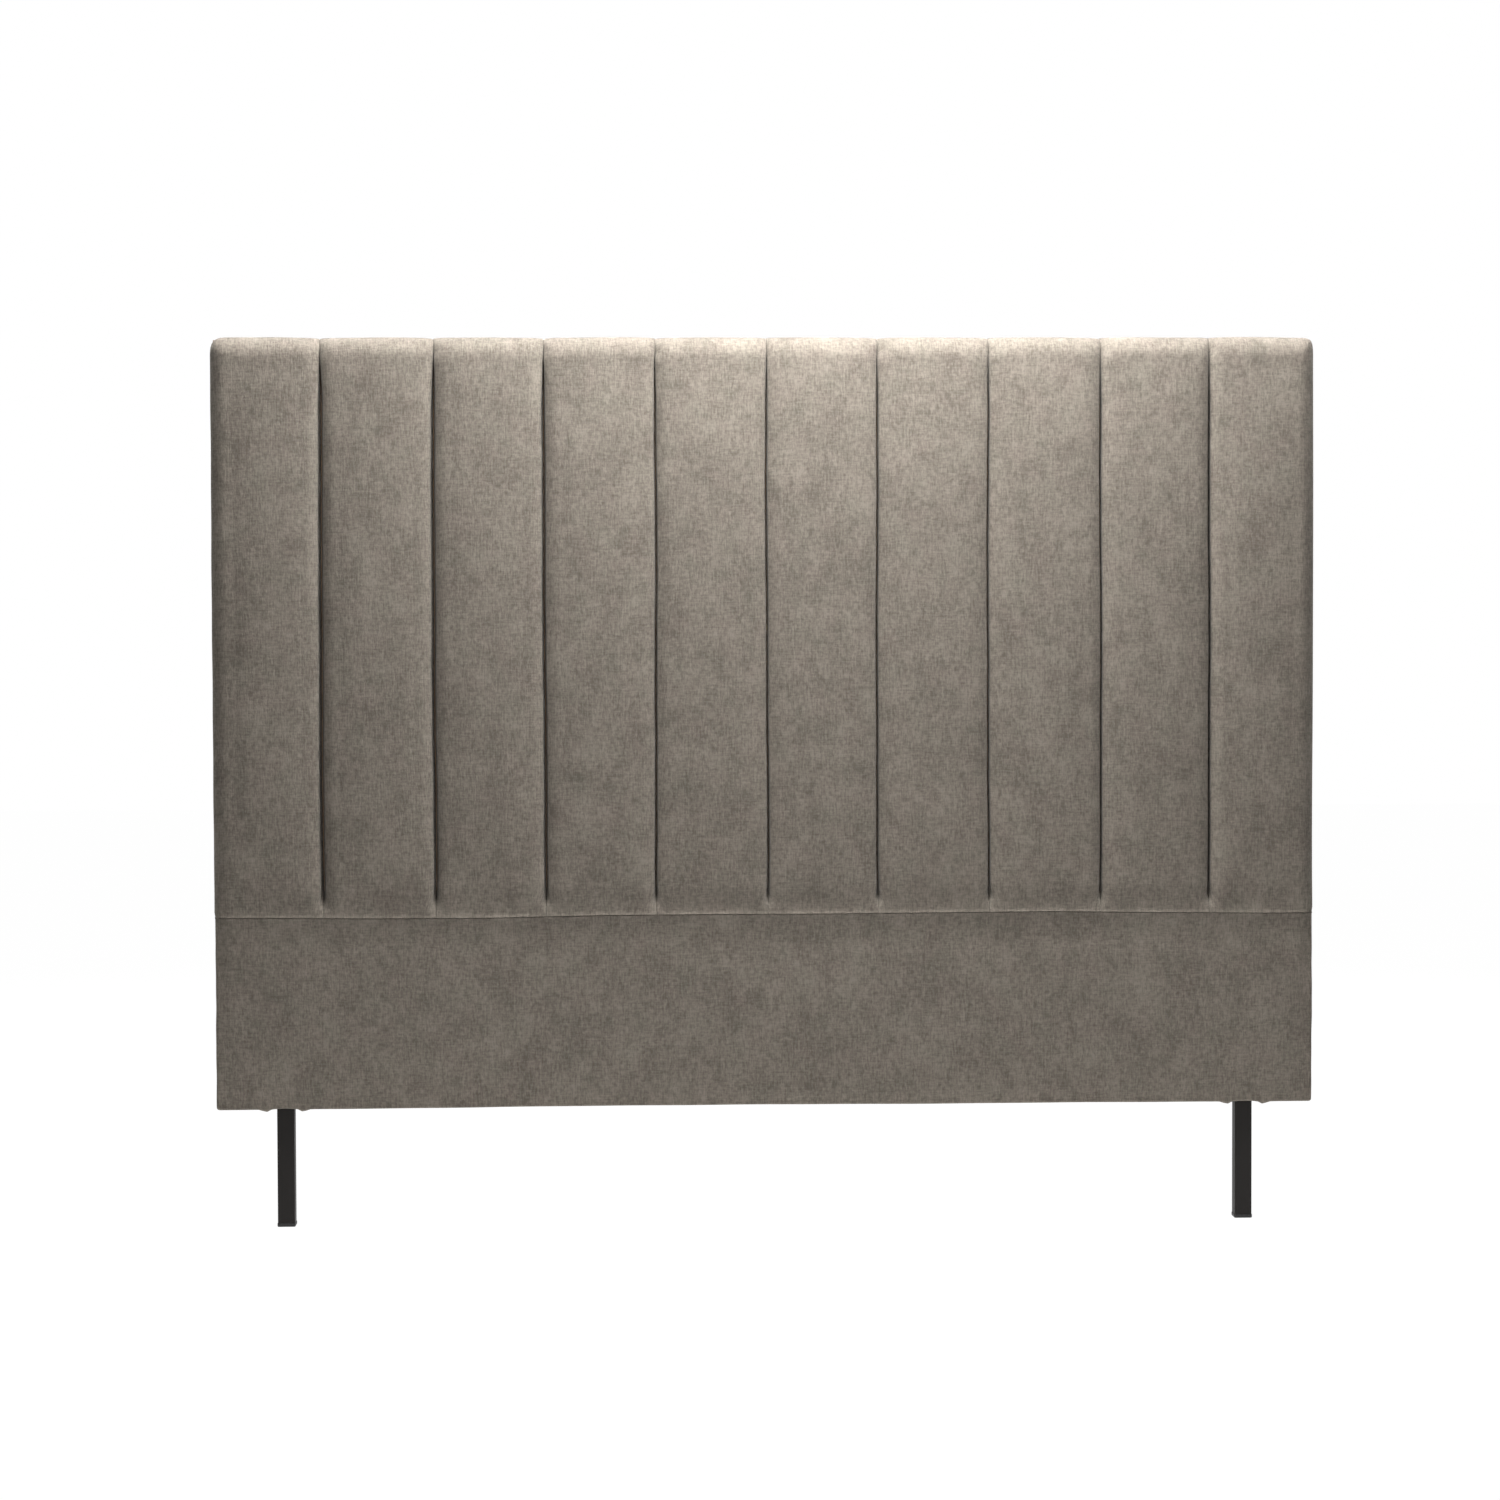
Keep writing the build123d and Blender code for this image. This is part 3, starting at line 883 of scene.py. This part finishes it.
def wrap(edge, facing, depth, keep):
    """Rows of points that carry an edge of the front back round the panel and in behind."""
    start = edge[:, 1]
    straight = wrap_back - back_edge_radius
    count = int((straight - start.min()) / wrap_step)
    rows = [
        edge + facing * (depth * (1 - keep(share)))[:, None]
        + np.outer(straight - start, (0, 1, 0)) * share
        for share in np.linspace(0, 1, count + 1)
    ]
    inward = -facing
    for turn in np.linspace(0, math.pi / 2, back_arc_rows + 1)[1:]:
        row = rows[count] + inward * back_edge_radius * (1 - math.cos(turn))
        row[:, 1] = straight + back_edge_radius * math.sin(turn)
        rows.append(row)
    return rows, inward


def turned_in(row, inward, limits):
    """Rows of points from the back edge over the frame's back, mitred at the corners."""
    rows = []
    for share in np.linspace(0, 1, turn_in_rows + 1)[1:]:
        moved = row + inward * turn_in * share
        inset = back_edge_radius + turn_in * share
        moved[:, 0] = np.clip(moved[:, 0], limits[0] + inset, limits[1] - inset)
        moved[:, 2] = np.clip(moved[:, 2], limits[2] + inset, limits[3] - inset)
        rows.append(moved)
    return rows


def cloth_lengths(rows):
    """How far along the cloth each row lies from the first."""
    steps = [np.linalg.norm(b - a, axis=1).mean() for a, b in zip(rows, rows[1:])]
    return np.insert(np.cumsum(steps), 0, 0)


def top_keep(share):
    """How much of the crease is left on the way back over the top."""
    return kept_crease + (1 - kept_crease) * (1 - smooth(share, 0.0, kept_crease_reach))


def side_keep(share):
    """The hem keeps its depth round the panel's side."""
    return 1.0


def thinned(count):
    """Every second place of a row, and its last."""
    return np.unique(np.append(np.arange(0, count, 2), count - 1))


def loose_face(name, face, sewn, full, pressure):
    """A cover's face as loose cloth: sewn where it doesn't move, and cut full near its seams."""
    skin = Skin()
    skin.grid(face)
    mesh = bpy.data.meshes.new(name)
    mesh.from_pydata(skin.points[0].tolist(), [], skin.faces[0].tolist())
    piece = bpy.data.objects.new(name, mesh)
    bpy.context.scene.collection.objects.link(piece)
    for key, weights in (("sewn", sewn), ("full", full)):
        group = piece.vertex_groups.new(name=key)
        for index, weight in enumerate(weights.ravel().tolist()):
            if weight > least_weight:
                group.add([index], weight, "REPLACE")
    cloth = piece.modifiers.new("Cloth", "CLOTH")
    cloth.settings.quality = cloth_quality
    cloth.settings.tension_stiffness = cloth_stiffness
    cloth.settings.compression_stiffness = cloth_stiffness
    cloth.settings.shear_stiffness = cloth_stiffness / 2
    cloth.settings.bending_stiffness = cloth_bending
    cloth.settings.vertex_group_mass = "sewn"
    cloth.settings.vertex_group_shrink = "full"
    cloth.settings.shrink_min = 0.0
    cloth.settings.shrink_max = -seam_fullness
    cloth.settings.use_pressure = True
    cloth.settings.uniform_pressure_force = pressure
    cloth.settings.effector_weights.gravity = 0
    cloth.collision_settings.use_collision = False
    return piece


def settled(faces):
    """How far the foam pushes each point of the loose faces out, up to a most."""
    shifts = [np.zeros_like(face[0]) for face in faces]
    pieces = [loose_face(f"loose_face_{n}", *face) for n, face in enumerate(faces)]
    for step in range(1, cloth_frames + 1):
        bpy.context.scene.frame_set(step)
    graph = bpy.context.evaluated_depsgraph_get()
    for number, (piece, (face, *_)) in enumerate(zip(pieces, faces)):
        mesh = piece.evaluated_get(graph).to_mesh()
        moved = np.empty(face.size)
        mesh.vertices.foreach_get("co", moved)
        shift = moved.reshape(face.shape) - face
        length = np.maximum(np.linalg.norm(shift, axis=-1, keepdims=True), 1e-9)
        shifts[number] = shift / length * most_shift * np.tanh(length / most_shift)
    for piece in pieces:
        mesh = piece.data
        bpy.data.objects.remove(piece)
        bpy.data.meshes.remove(mesh)
    bpy.context.scene.frame_set(1)
    return shifts


def spread(shift, kept, count):
    """A shift known at some columns, for all of them."""
    places = np.arange(count)
    lines = [[np.interp(places, kept, line) for line in row.T] for row in shift]
    return np.array(lines).transpose(0, 2, 1)


def seam_gaps(form):
    """How far each point of a channel lies from its nearer sewn seam."""
    x = form.front[..., 0]
    left = x - form.low if form.number > 0 else far
    right = form.high - x if form.number < channel_count - 1 else far
    return np.minimum(left, right) + 0 * x


def loose_channel(form):
    """The columns of a channel that are simulated, and its face, sewing and fullness there."""
    kept = thinned(form.front.shape[1])
    kept = kept[form.columns.roll[kept] < simulated_roll]
    open_face = 1 - smooth(form.depth, *open_depths)
    face = form.front + form.facing * (-swell_room * open_face)[..., None]
    sewn = np.zeros(form.depth.shape)
    sewn[form.rows.z < hem_z + valley_rise] = 1
    sewn[-1] = 1
    sewn[:, form.columns.drop > sewn_depth] = 1
    sewn[:, form.columns.roll > sewn_roll] = 1
    full = np.exp(-seam_gaps(form) / fullness_reach)
    return kept, (face[:, kept], sewn[:, kept], full[:, kept], foam_pressure)


def on_foam(front, facing, shift, open_face):
    """The cover where the simulation leaves it, but no deeper than its foam gives."""
    out = (shift * facing).sum(axis=-1) - swell_room * open_face
    held = np.maximum(out, -foam_give * open_face) - out
    return front + shift + facing * (held - swell_room * open_face)[..., None]


def thickened(piece, thickness):
    """Gives a sheet its thickness on the inside, and works it into the mesh."""
    thick = piece.modifiers.new("Thickness", "SOLIDIFY")
    thick.thickness = thickness
    thick.offset = -1
    baked(piece)


def pressed_flat(piece):
    """Presses the turned-in cloth flat against the frame's back."""
    for vertex in piece.data.vertices:
        vertex.co.y = min(vertex.co.y, wrap_back)


def channel_cover(number):
    """One channel's cover."""
    form = channel_forms[number]
    columns, rows = form.columns, form.rows
    label = str(number + 1).zfill(2)
    place = form.front
    near = np.exp(-seam_gaps(form) / pucker_reach)
    pull = waves(place * pucker_stretch, pucker_seed + number, pucker_waves, 1.0)
    soft = waves(place, soft_seed + number, soft_waves, 1.0)
    open_face = 1 - smooth(form.depth, *open_depths)
    uneven = (pucker_height * pull * near + soft_height * soft) * open_face
    uneven = uneven * smooth(rows.z[:, None], hem_z + flat_start, hem_z + flat_end)
    front = place - form.facing * uneven[..., None]
    shift = spread(channel_shifts[number], channel_kept[number], front.shape[1])
    front = on_foam(front, form.facing, shift, open_face)
    flat_x = columns.cloth + 0 * front[..., 0]
    flat_y = rows.cloth[:, None] + number * strip_length + 0 * front[..., 0]
    skin = Skin()
    # Painted shade: how deep in a crease each point lies, which darkens its colour.
    folded = smooth(columns.drop * rows.crease[:, None], *painted_shade_depths)
    skin.grid(front, np.stack([flat_x, flat_y], axis=-1), folded)

    limits = [-far, far, -far, panel_top]
    if number == 0:
        limits[0] = -panel_half
    if number == channel_count - 1:
        limits[1] = panel_half
    top_rows, inward = wrap(front[-1], form.facing[-1], form.depth[-1], top_keep)
    top_rows += turned_in(top_rows[-1], inward, limits)
    reach = cloth_lengths(top_rows)
    flat = np.stack([
        np.stack([flat_x[-1], flat_y[-1] + step], axis=-1) for step in reach
    ])
    skin.grid(np.stack(top_rows), flat)
    for present, column, order in ((number == 0, 0, 1), (number == channel_count - 1, -1, -1)):
        if not present:
            continue
        side_rows, inward = wrap(
            front[::order, column], form.facing[::order, column],
            form.depth[::order, column], side_keep,
        )
        side_rows += turned_in(side_rows[-1], inward, limits)
        reach = cloth_lengths(side_rows)
        flat = np.stack([
            np.stack([flat_x[::order, column] - order * step, flat_y[::order, column]], axis=-1)
            for step in reach
        ])
        skin.grid(np.stack(side_rows), flat)
    piece = skin.piece("cover_channel_" + label, cover_cloth)
    thickened(piece, cover_thickness)
    pressed_flat(piece)
    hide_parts("fabric_channel_" + label)
    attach(piece, "root")


channel_forms = [ChannelForm(number) for number in range(channel_count)]
loose_channels = [loose_channel(form) for form in channel_forms]
channel_kept = [kept for kept, face in loose_channels]
channel_shifts = settled([face for kept, face in loose_channels])
for number in range(channel_count):
    channel_cover(number)


# Band cover
# One plain width of the same chenille below the long seam, stretched over the thin foam.
# It is slit round each leg, where its edge gathers, and is turned in and stapled behind.

gather_reach = 0.027
gather_drop = 0.0028
gather_width = 0.0055
gather_height = 0.008
gather_pull = 0.35
gather_pull_width = 0.016
slit_margin = 0.004
band_wave = 0.0005
band_wave_seed = 91
band_wave_lengths = (0.09, 0.14, 0.21, 0.33)
band_crease = 0.0004
band_crease_seed = 95
band_crease_lengths = (0.05, 0.075, 0.12)
band_crease_stretch = (0.35, 0, 1)
band_open_depths = (0.001, 0.008)
band_sewn_roll = 0.3
band_length = 2.3
measured_row = 20
band_pressure = 1.2


def loose_band(form, open_face):
    """The columns of the band that are simulated, and its face, sewing and fullness there."""
    kept = thinned(form.front.shape[1])
    kept = kept[form.roll[kept] < simulated_roll]
    face = form.front + form.facing * (-swell_room * open_face)[..., None]
    sewn = np.where((form.bottom > 0) | (form.roll > band_sewn_roll), 1.0, 0.0)
    sewn = np.maximum(sewn, 1 - smooth(band_high.z - form.z0, sewn_reach, sewn_end))
    full = np.exp(-(band_high.z - face[..., 2]) / fullness_reach)
    return kept, (face[:, kept], sewn[:, kept], full[:, kept], band_pressure)


def band_cover():
    """The plain band's cover."""
    form = BandForm()
    place = form.front
    x, z = place[..., 0], place[..., 2]
    soft = waves(place, band_wave_seed, band_wave_lengths, band_wave)
    creases = waves(
        place * band_crease_stretch, band_crease_seed, band_crease_lengths, band_crease
    )
    open_face = 1 - smooth(form.sunk, *band_open_depths)
    free = smooth(band_high.z - form.z0, flat_start, flat_end)
    gathers = 0
    for side in (-1, 1):
        for way in (-1, 1):
            away = x - side * abs(leg_middle) - way * gather_reach
            gathers = gathers + np.exp(-(away / gather_width) ** 2)
        away = x - side * abs(leg_middle)
        gathers = gathers - gather_pull * np.exp(-(away / gather_pull_width) ** 2)
    near_edge = np.exp(-(z - band_low.z) / gather_height)
    sink = (soft + creases) * open_face * free - gather_drop * gathers * near_edge
    front = place - form.facing * sink[..., None]
    kept, loose = loose_band(form, open_face)
    shift = spread(settled([loose])[0], kept, front.shape[1])
    front = on_foam(front, form.facing, shift, open_face)
    lines = front[measured_row], front[:, front.shape[1] // 2]
    lengths = [np.linalg.norm(np.diff(line, axis=0), axis=1) for line in lines]
    flat_x, flat_y = np.meshgrid(*(np.insert(np.cumsum(steps), 0, 0) for steps in lengths))
    flat_y = flat_y - band_length
    skin = Skin()
    skin.grid(front, np.stack([flat_x, flat_y], axis=-1))
    limits = (-panel_half, panel_half, band_low.z, far)

    depth = band_draw_in * np.ones(max(front.shape[:2]))
    edges = (
        (front[::-1, -1], form.facing[::-1, -1], flat_x[::-1, -1], flat_y[::-1, -1], 1, 0),
        (front[0, ::-1], form.facing[0, ::-1], flat_x[0, ::-1], flat_y[0, ::-1], 0, -1),
        (front[:, 0], form.facing[:, 0], flat_x[:, 0], flat_y[:, 0], -1, 0),
    )
    for edge, facing, across, along, way_x, way_y in edges:
        rows, inward = wrap(edge, facing, depth[:len(edge)], side_keep)
        rows += turned_in(rows[-1], inward, limits)
        reach = cloth_lengths(rows)
        flat = np.stack([
            np.stack([across + way_x * step, along + way_y * step], axis=-1) for step in reach
        ])
        skin.grid(np.stack(rows), flat)
    piece = skin.piece("cover_band", cover_cloth)
    body = bmesh.new()
    body.from_mesh(piece.data)
    half = (leg_high.x - leg_low.x) / 2 + slot_clearance
    slit = []
    for face in body.faces:
        centre = face.calc_center_median()
        beside = abs(abs(centre.x) - abs(leg_middle)) < half
        deep = leg_low.y - slit_margin < centre.y < leg_high.y + slit_margin
        if beside and deep and centre.z < band_low.z + slit_margin:
            slit.append(face)
    bmesh.ops.delete(body, geom=slit, context="FACES")
    body.to_mesh(piece.data)
    body.free()
    thickened(piece, cover_thickness)
    pressed_flat(piece)
    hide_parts("lower_fabric")
    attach(piece, "root")


band_cover()


# Dust cloth
# Black spun-bonded cloth over the open back, stapled round its edge.
# It sags a little into the frame's bays, and has a hole at each leg bolt.

cloth_low, cloth_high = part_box("dust_cloth")
cloth_thickness = 0.0005
cloth_step = 0.016
bay_sag = 0.0016
hole_radius = 0.012
hole_block = 0.03
hole_steps = 4
bolt_low, bolt_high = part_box("leg_bolts")
bolt_radius = 0.007
bolt_zs = (bolt_low.z + bolt_radius, bolt_high.z - bolt_radius)
bond_frequency = 2900
sag_reach_start = 0.045
sag_reach_full = 0.16
crease_reach_full = 0.09
bay_seed = 120
bay_waves = (0.31, 0.43, 0.6)
bay_evenness = 0.6
lie_crease = 0.0004
lie_crease_seed = 124
lie_crease_waves = (0.045, 0.07, 0.11)
lie_crease_stretch = (1, 0, 0.3)
hair = 1e-5


def spun_cloth():
    """Black spun-bonded cloth: matt, with a fine grid of bonding points and a random lie."""
    finish = Finish("spun_dust_cloth")
    cloth = finish.node("ShaderNodeUVMap", {"uv_map": "weave"})
    dots = (finish.along(cloth, "X") * bond_frequency).math("SINE")
    dots = dots * (finish.along(cloth, "Y") * bond_frequency).math("SINE")
    lie = finish.noise(cloth, (0.0012, 0.009, 1.0), detail=4.0, roughness=0.7)
    clouds = finish.noise(cloth, (0.02, 0.03, 1.0), detail=3.0)
    black = finish.mix(lie * 0.7 + clouds * 0.3, (0.012, 0.012, 0.013), (0.050, 0.050, 0.052))
    return finish.surface(
        Base_Color=black, Roughness=0.75 + dots * 0.08, Specular_IOR_Level=0.3,
        Normal=finish.bump(lie + dots * 0.25, 0.00025),
    )


def stops(values, step):
    """Places through all the values, no further apart than a step."""
    values = sorted(set(round(float(value), 6) for value in values))
    lines = []
    for a, b in zip(values, values[1:]):
        lines += np.linspace(a, b, max(1, math.ceil((b - a) / step)) + 1)[:-1].tolist()
    return np.array(lines + [values[-1]])


def cloth_relief(points):
    """The cloth's small sag into the bays, and its pull towards the staples."""
    x, z = points[..., 0], points[..., 2]
    edge = np.minimum(
        np.minimum(x - cloth_low.x, cloth_high.x - x),
        np.minimum(z - cloth_low.z, cloth_high.z - z),
    )
    hung = smooth(edge, sag_reach_start, sag_reach_full)
    bays = waves(points * (1, 0, 1), bay_seed, bay_waves, 1.0)
    bays = bay_evenness + (1 - bay_evenness) * bays
    creases = waves(points * lie_crease_stretch, lie_crease_seed, lie_crease_waves, lie_crease)
    return bay_sag * hung * bays + creases * smooth(edge, sag_reach_start, crease_reach_full)


def dust_cloth():
    """The cloth with its four bolt holes."""
    xs = stops(
        [cloth_low.x, cloth_high.x]
        + [side * leg_middle + way * hole_block for side in (-1, 1) for way in (-1, 1)], cloth_step
    )
    zs = stops(
        [cloth_low.z, cloth_high.z] + [z + way * hole_block for z in bolt_zs for way in (-1, 1)],
        cloth_step,
    )
    outside = cloth_high.y
    skin = Skin()

    def add(x, z):
        points = np.stack([x, np.full_like(x, outside), z], axis=-1)
        points[..., 1] -= cloth_relief(points)
        skin.grid(points, np.stack([x, z], axis=-1))

    x, z = np.meshgrid(xs[::-1], zs)
    add(x, z)
    numbers = skin.faces[0]
    centres = skin.points[0][numbers].mean(axis=1)
    kept = np.ones(len(numbers), bool)
    for side in (-1, 1):
        for bolt_z in bolt_zs:
            near_x = np.abs(centres[:, 0] - side * leg_middle) < hole_block
            near_z = np.abs(centres[:, 2] - bolt_z) < hole_block
            kept &= ~(near_x & near_z)
    skin.faces[0] = numbers[kept]
    for side in (-1, 1):
        for bolt_z in bolt_zs:
            middle = side * leg_middle
            across = xs[np.abs(xs - middle) < hole_block + hair]
            along = zs[np.abs(zs - bolt_z) < hole_block + hair]
            square = (
                [(a, along[0]) for a in across] + [(across[-1], b) for b in along[1:]]
                + [(a, along[-1]) for a in across[-2::-1]] + [(across[0], b) for b in along[-2::-1]]
            )
            square = np.array(square) - (middle, bolt_z)
            circle = square / np.linalg.norm(square, axis=1)[:, None] * hole_radius
            rings = [square + (circle - square) * step / hole_steps for step in range(hole_steps + 1)]
            rings = np.stack(rings) + (middle, bolt_z)
            add(rings[..., 0][::-1], rings[..., 1][::-1])
    piece = skin.piece("dust_cloth_back", spun_cloth())
    thickened(piece, cloth_thickness)
    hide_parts("dust_cloth")
    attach(piece, "root")


dust_cloth()


# Staples
# Sixty-four wire staples in a ring round the back, shot through the dust cloth and the
# turned-in cover into the timber. They are of galvanised wire and lie a little askew.

staple_inset = 0.021
staple_crown = 0.010
staple_leg = 0.009
staple_wire = 0.0007
staple_wire_width = 0.0012
staple_askew = math.radians(5)
staple_seed = 8
staple_rows = 2 * channel_count
staple_sides = 12


def staple_tree():
    """Staples as a tree: four lines of bent wire, each turned along its edge."""
    tree = bpy.data.node_groups.new("StapleRing", "GeometryNodeTree")
    inputs = (
        ("Half Width", "NodeSocketFloat"), ("Low", "NodeSocketFloat"), ("High", "NodeSocketFloat"),
        ("Depth", "NodeSocketFloat"), ("Inset", "NodeSocketFloat"), ("Row Count", "NodeSocketInt"),
        ("Side Count", "NodeSocketInt"), ("Crown", "NodeSocketFloat"), ("Leg", "NodeSocketFloat"),
        ("Wire", "NodeSocketFloat"), ("Wire Width", "NodeSocketFloat"),
        ("Askew", "NodeSocketFloat"), ("Seed", "NodeSocketInt"),
        ("Finish", "NodeSocketMaterial"),
    )
    tree.interface.new_socket("Geometry", in_out="INPUT", socket_type="NodeSocketGeometry")
    for name, kind in inputs:
        tree.interface.new_socket(name, in_out="INPUT", socket_type=kind)
    tree.interface.new_socket("Geometry", in_out="OUTPUT", socket_type="NodeSocketGeometry")
    nodes = Nodes(tree)
    given = {
        name: nodes.node("NodeGroupInput", output=name.replace(" ", "_")) for name, _ in inputs
    }
    number = nodes.node("GeometryNodeInputIndex")
    right = number.math("GREATER_THAN", 1.5) * 2 - 1
    outer = (number - 1.5).math("ABSOLUTE").math("GREATER_THAN", 1.0)
    bent = nodes.node(
        "ShaderNodeCombineXYZ", X=right * (given["Crown"] - given["Wire"]) * 0.5,
        Y=given["Wire"] * 0.5 - outer * given["Leg"],
    )
    wire = nodes.node("GeometryNodeMeshLine", Count=4)
    wire = nodes.node("GeometryNodeSetPosition", Geometry=wire, Position=bent)
    wire = nodes.node("GeometryNodeMeshToCurve", Mesh=wire)
    wire = nodes.node(
        "GeometryNodeFilletCurve", {"mode": "POLY"}, Curve=wire, Count=3, Radius=given["Wire"],
        Limit_Radius=True,
    )
    section = nodes.node(
        "GeometryNodeCurvePrimitiveQuadrilateral", {"mode": "RECTANGLE"},
        Width=given["Wire Width"], Height=given["Wire"],
    )
    staple = nodes.node(
        "GeometryNodeCurveToMesh", Curve=wire, Profile_Curve=section, Fill_Caps=True
    )
    askew = nodes.node(
        "FunctionNodeRandomValue", {"data_type": "FLOAT"}, output="Value_001",
        Min_001=given["Askew"] * -1, Max_001=given["Askew"], Seed=given["Seed"],
    )
    step = (given["Half Width"] * 2) / given["Row Count"]
    first = step * 0.5 - given["Half Width"]
    rise = (given["High"] - given["Low"]) / (given["Side Count"] + 1)
    side_x = given["Half Width"] - given["Inset"]
    lines = (
        (first, given["Low"], first * -1, given["Low"], "Row Count", 0.0),
        (first, given["High"], first * -1, given["High"], "Row Count", 0.0),
        (side_x * -1, given["Low"] + rise, side_x * -1, given["High"] - rise, "Side Count", 1.0),
        (side_x, given["Low"] + rise, side_x, given["High"] - rise, "Side Count", 1.0),
    )
    shot = []
    for x0, z0, x1, z1, count, turned in lines:
        ends = [
            nodes.node("ShaderNodeCombineXYZ", X=x, Y=given["Depth"], Z=z)
            for x, z in ((x0, z0), (x1, z1))
        ]
        line = nodes.node(
            "GeometryNodeMeshLine", {"mode": "END_POINTS"}, Count=given[count],
            Start_Location=ends[0], Offset=ends[1],
        )
        turn = nodes.node("ShaderNodeCombineXYZ", Y=askew + turned * math.pi / 2)
        shot.append(nodes.node(
            "GeometryNodeInstanceOnPoints", Points=line, Instance=staple, Rotation=turn
        ))
    ring = nodes.node("GeometryNodeJoinGeometry", Geometry=shot)
    ring = nodes.node("GeometryNodeRealizeInstances", Geometry=ring)
    ring = nodes.node("GeometryNodeSetMaterial", Geometry=ring, Material=given["Finish"])
    nodes.node("NodeGroupOutput", Geometry=ring)
    return tree


def staples():
    """The ring of staples, worked out by its tree and baked."""
    mesh = bpy.data.meshes.new("staple_ring")
    piece = bpy.data.objects.new("staple_ring", mesh)
    bpy.context.scene.collection.objects.link(piece)
    ring = piece.modifiers.new("Ring", "NODES")
    ring.node_group = staple_tree()
    galvanised = plated("galvanised_wire", (0.60, 0.60, 0.61), 0.3)
    sizes = {
        "Half Width": panel_half, "Low": band_low.z + staple_inset,
        "High": panel_top - staple_inset, "Depth": cloth_high.y, "Inset": staple_inset,
        "Row Count": staple_rows, "Side Count": staple_sides, "Crown": staple_crown,
        "Leg": staple_leg, "Wire": staple_wire, "Wire Width": staple_wire_width,
        "Askew": staple_askew, "Seed": staple_seed, "Finish": galvanised,
    }
    for item in ring.node_group.interface.items_tree:
        if item.in_out == "INPUT" and item.name in sizes:
            ring[item.identifier] = sizes[item.name]
    baked(piece)
    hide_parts("back_staples")
    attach(piece, "root")


staples()


# Studio
# A white floor and surround, and the photograph's camera. Two soft lamps stand above and in
# front, two hang over the ends of the top edge, and two stand behind for the back.

floor_half = 12.0
white_share = 0.95
white_strength = 1.04
fill_strength = 0.10


def seen_directly(nodes):
    """1 where the camera, a glossy surface or glass looks straight at it, and 0 elsewhere."""
    ways = [
        nodes.node("ShaderNodeLightPath", output=ray)
        for ray in ("Is_Camera_Ray", "Is_Glossy_Ray", "Is_Transmission_Ray")
    ]
    return (ways[0] + ways[1] + ways[2]).math("MINIMUM", 1.0)


def white_surround(name):
    """A white that the camera and glossy surfaces see as plain white, but for the shadow."""
    finish = Finish(name)
    matt = finish.node("ShaderNodeBsdfDiffuse", Color=(0.85, 0.85, 0.85))
    lit = finish.node("ShaderNodeEmission", Color=(1.0, 1.0, 1.0), Strength=white_strength)
    blend = finish.node(
        "ShaderNodeMixShader", Fac=seen_directly(finish) * white_share, Shader=matt,
        Shader_001=lit,
    )
    finish.node("ShaderNodeOutputMaterial", Surface=blend)
    return finish.material


floor_mesh = bpy.data.meshes.new("studio_floor")
floor_corners = [
    (-floor_half, -floor_half, 0), (floor_half, -floor_half, 0),
    (floor_half, floor_half, 0), (-floor_half, floor_half, 0),
]
floor_mesh.from_pydata(floor_corners, [], [(0, 1, 2, 3)])
floor_mesh.materials.append(white_surround("white_floor"))
floor = bpy.data.objects.new("studio_floor", floor_mesh)
bpy.context.scene.collection.objects.link(floor)

world = bpy.data.worlds.new("white_studio")
world.use_nodes = True
bpy.context.scene.world = world
air = Nodes(world.node_tree)
world.node_tree.nodes.clear()
sky = air.node(
    "ShaderNodeBackground", Color=(1.0, 1.0, 1.0),
    Strength=seen_directly(air) * (1 - fill_strength) + fill_strength,
)
air.node("ShaderNodeOutputWorld", Surface=sky)


def lamp(name, place, aim, size, power):
    """A soft rectangular lamp aimed at a point."""
    data = bpy.data.lights.new(name, "AREA")
    data.shape = "RECTANGLE"
    data.size, data.size_y = size
    data.energy = power
    light = bpy.data.objects.new(name, data)
    light.location = place
    light.rotation_euler = (Vector(aim) - Vector(place)).to_track_quat("-Z", "Y").to_euler()
    light.visible_camera = False
    bpy.context.scene.collection.objects.link(light)


lamp("soft_near", (0.13, -0.50, 1.75), (0.10, 0.0, 0.85), (0.7, 0.3), 8.3)
lamp("soft_wide", (0.10, -0.40, 2.1), (0.10, 0.0, 0.95), (1.9, 0.35), 32.8)
lamp("soft_roof_left", (-0.75, -0.02, 1.9), (-0.75, -0.02, 0.85), (0.3, 0.2), 3.4)
lamp("soft_roof_right", (0.80, -0.02, 1.9), (0.80, -0.02, 0.85), (0.3, 0.2), 2.4)
lamp("soft_behind_left", (-2.0, 2.6, 2.0), (-0.3, 0.0, 0.7), (1.2, 1.2), 40.0)
lamp("soft_behind_right", (2.0, 2.6, 2.0), (0.3, 0.0, 0.7), (1.2, 1.2), 40.0)

camera_place = Vector((-0.203, -5.0, 0.860))
camera_yaw = math.radians(2.07)
camera_pitch = math.radians(1.94)
camera_roll = math.radians(-0.19)
camera_lens = 82.25
camera_sensor = 36.0
camera_far = 60.0

ahead = Vector((
    math.sin(camera_yaw) * math.cos(camera_pitch),
    math.cos(camera_yaw) * math.cos(camera_pitch), -math.sin(camera_pitch),
))
level = Vector((math.cos(camera_yaw), -math.sin(camera_yaw), 0))
upright = level.cross(ahead)
right = level * math.cos(camera_roll) + upright * math.sin(camera_roll)
up = upright * math.cos(camera_roll) - level * math.sin(camera_roll)
camera_data = bpy.data.cameras.new("camera")
camera_data.lens = camera_lens
camera_data.sensor_width = camera_sensor
camera_data.clip_end = camera_far
camera = bpy.data.objects.new("camera", camera_data)
turn = Matrix((right, up, -ahead)).transposed().to_4x4()
camera.matrix_world = Matrix.Translation(camera_place) @ turn
bpy.context.scene.collection.objects.link(camera)
bpy.context.scene.camera = camera
bpy.context.scene.view_settings.view_transform = "Standard"
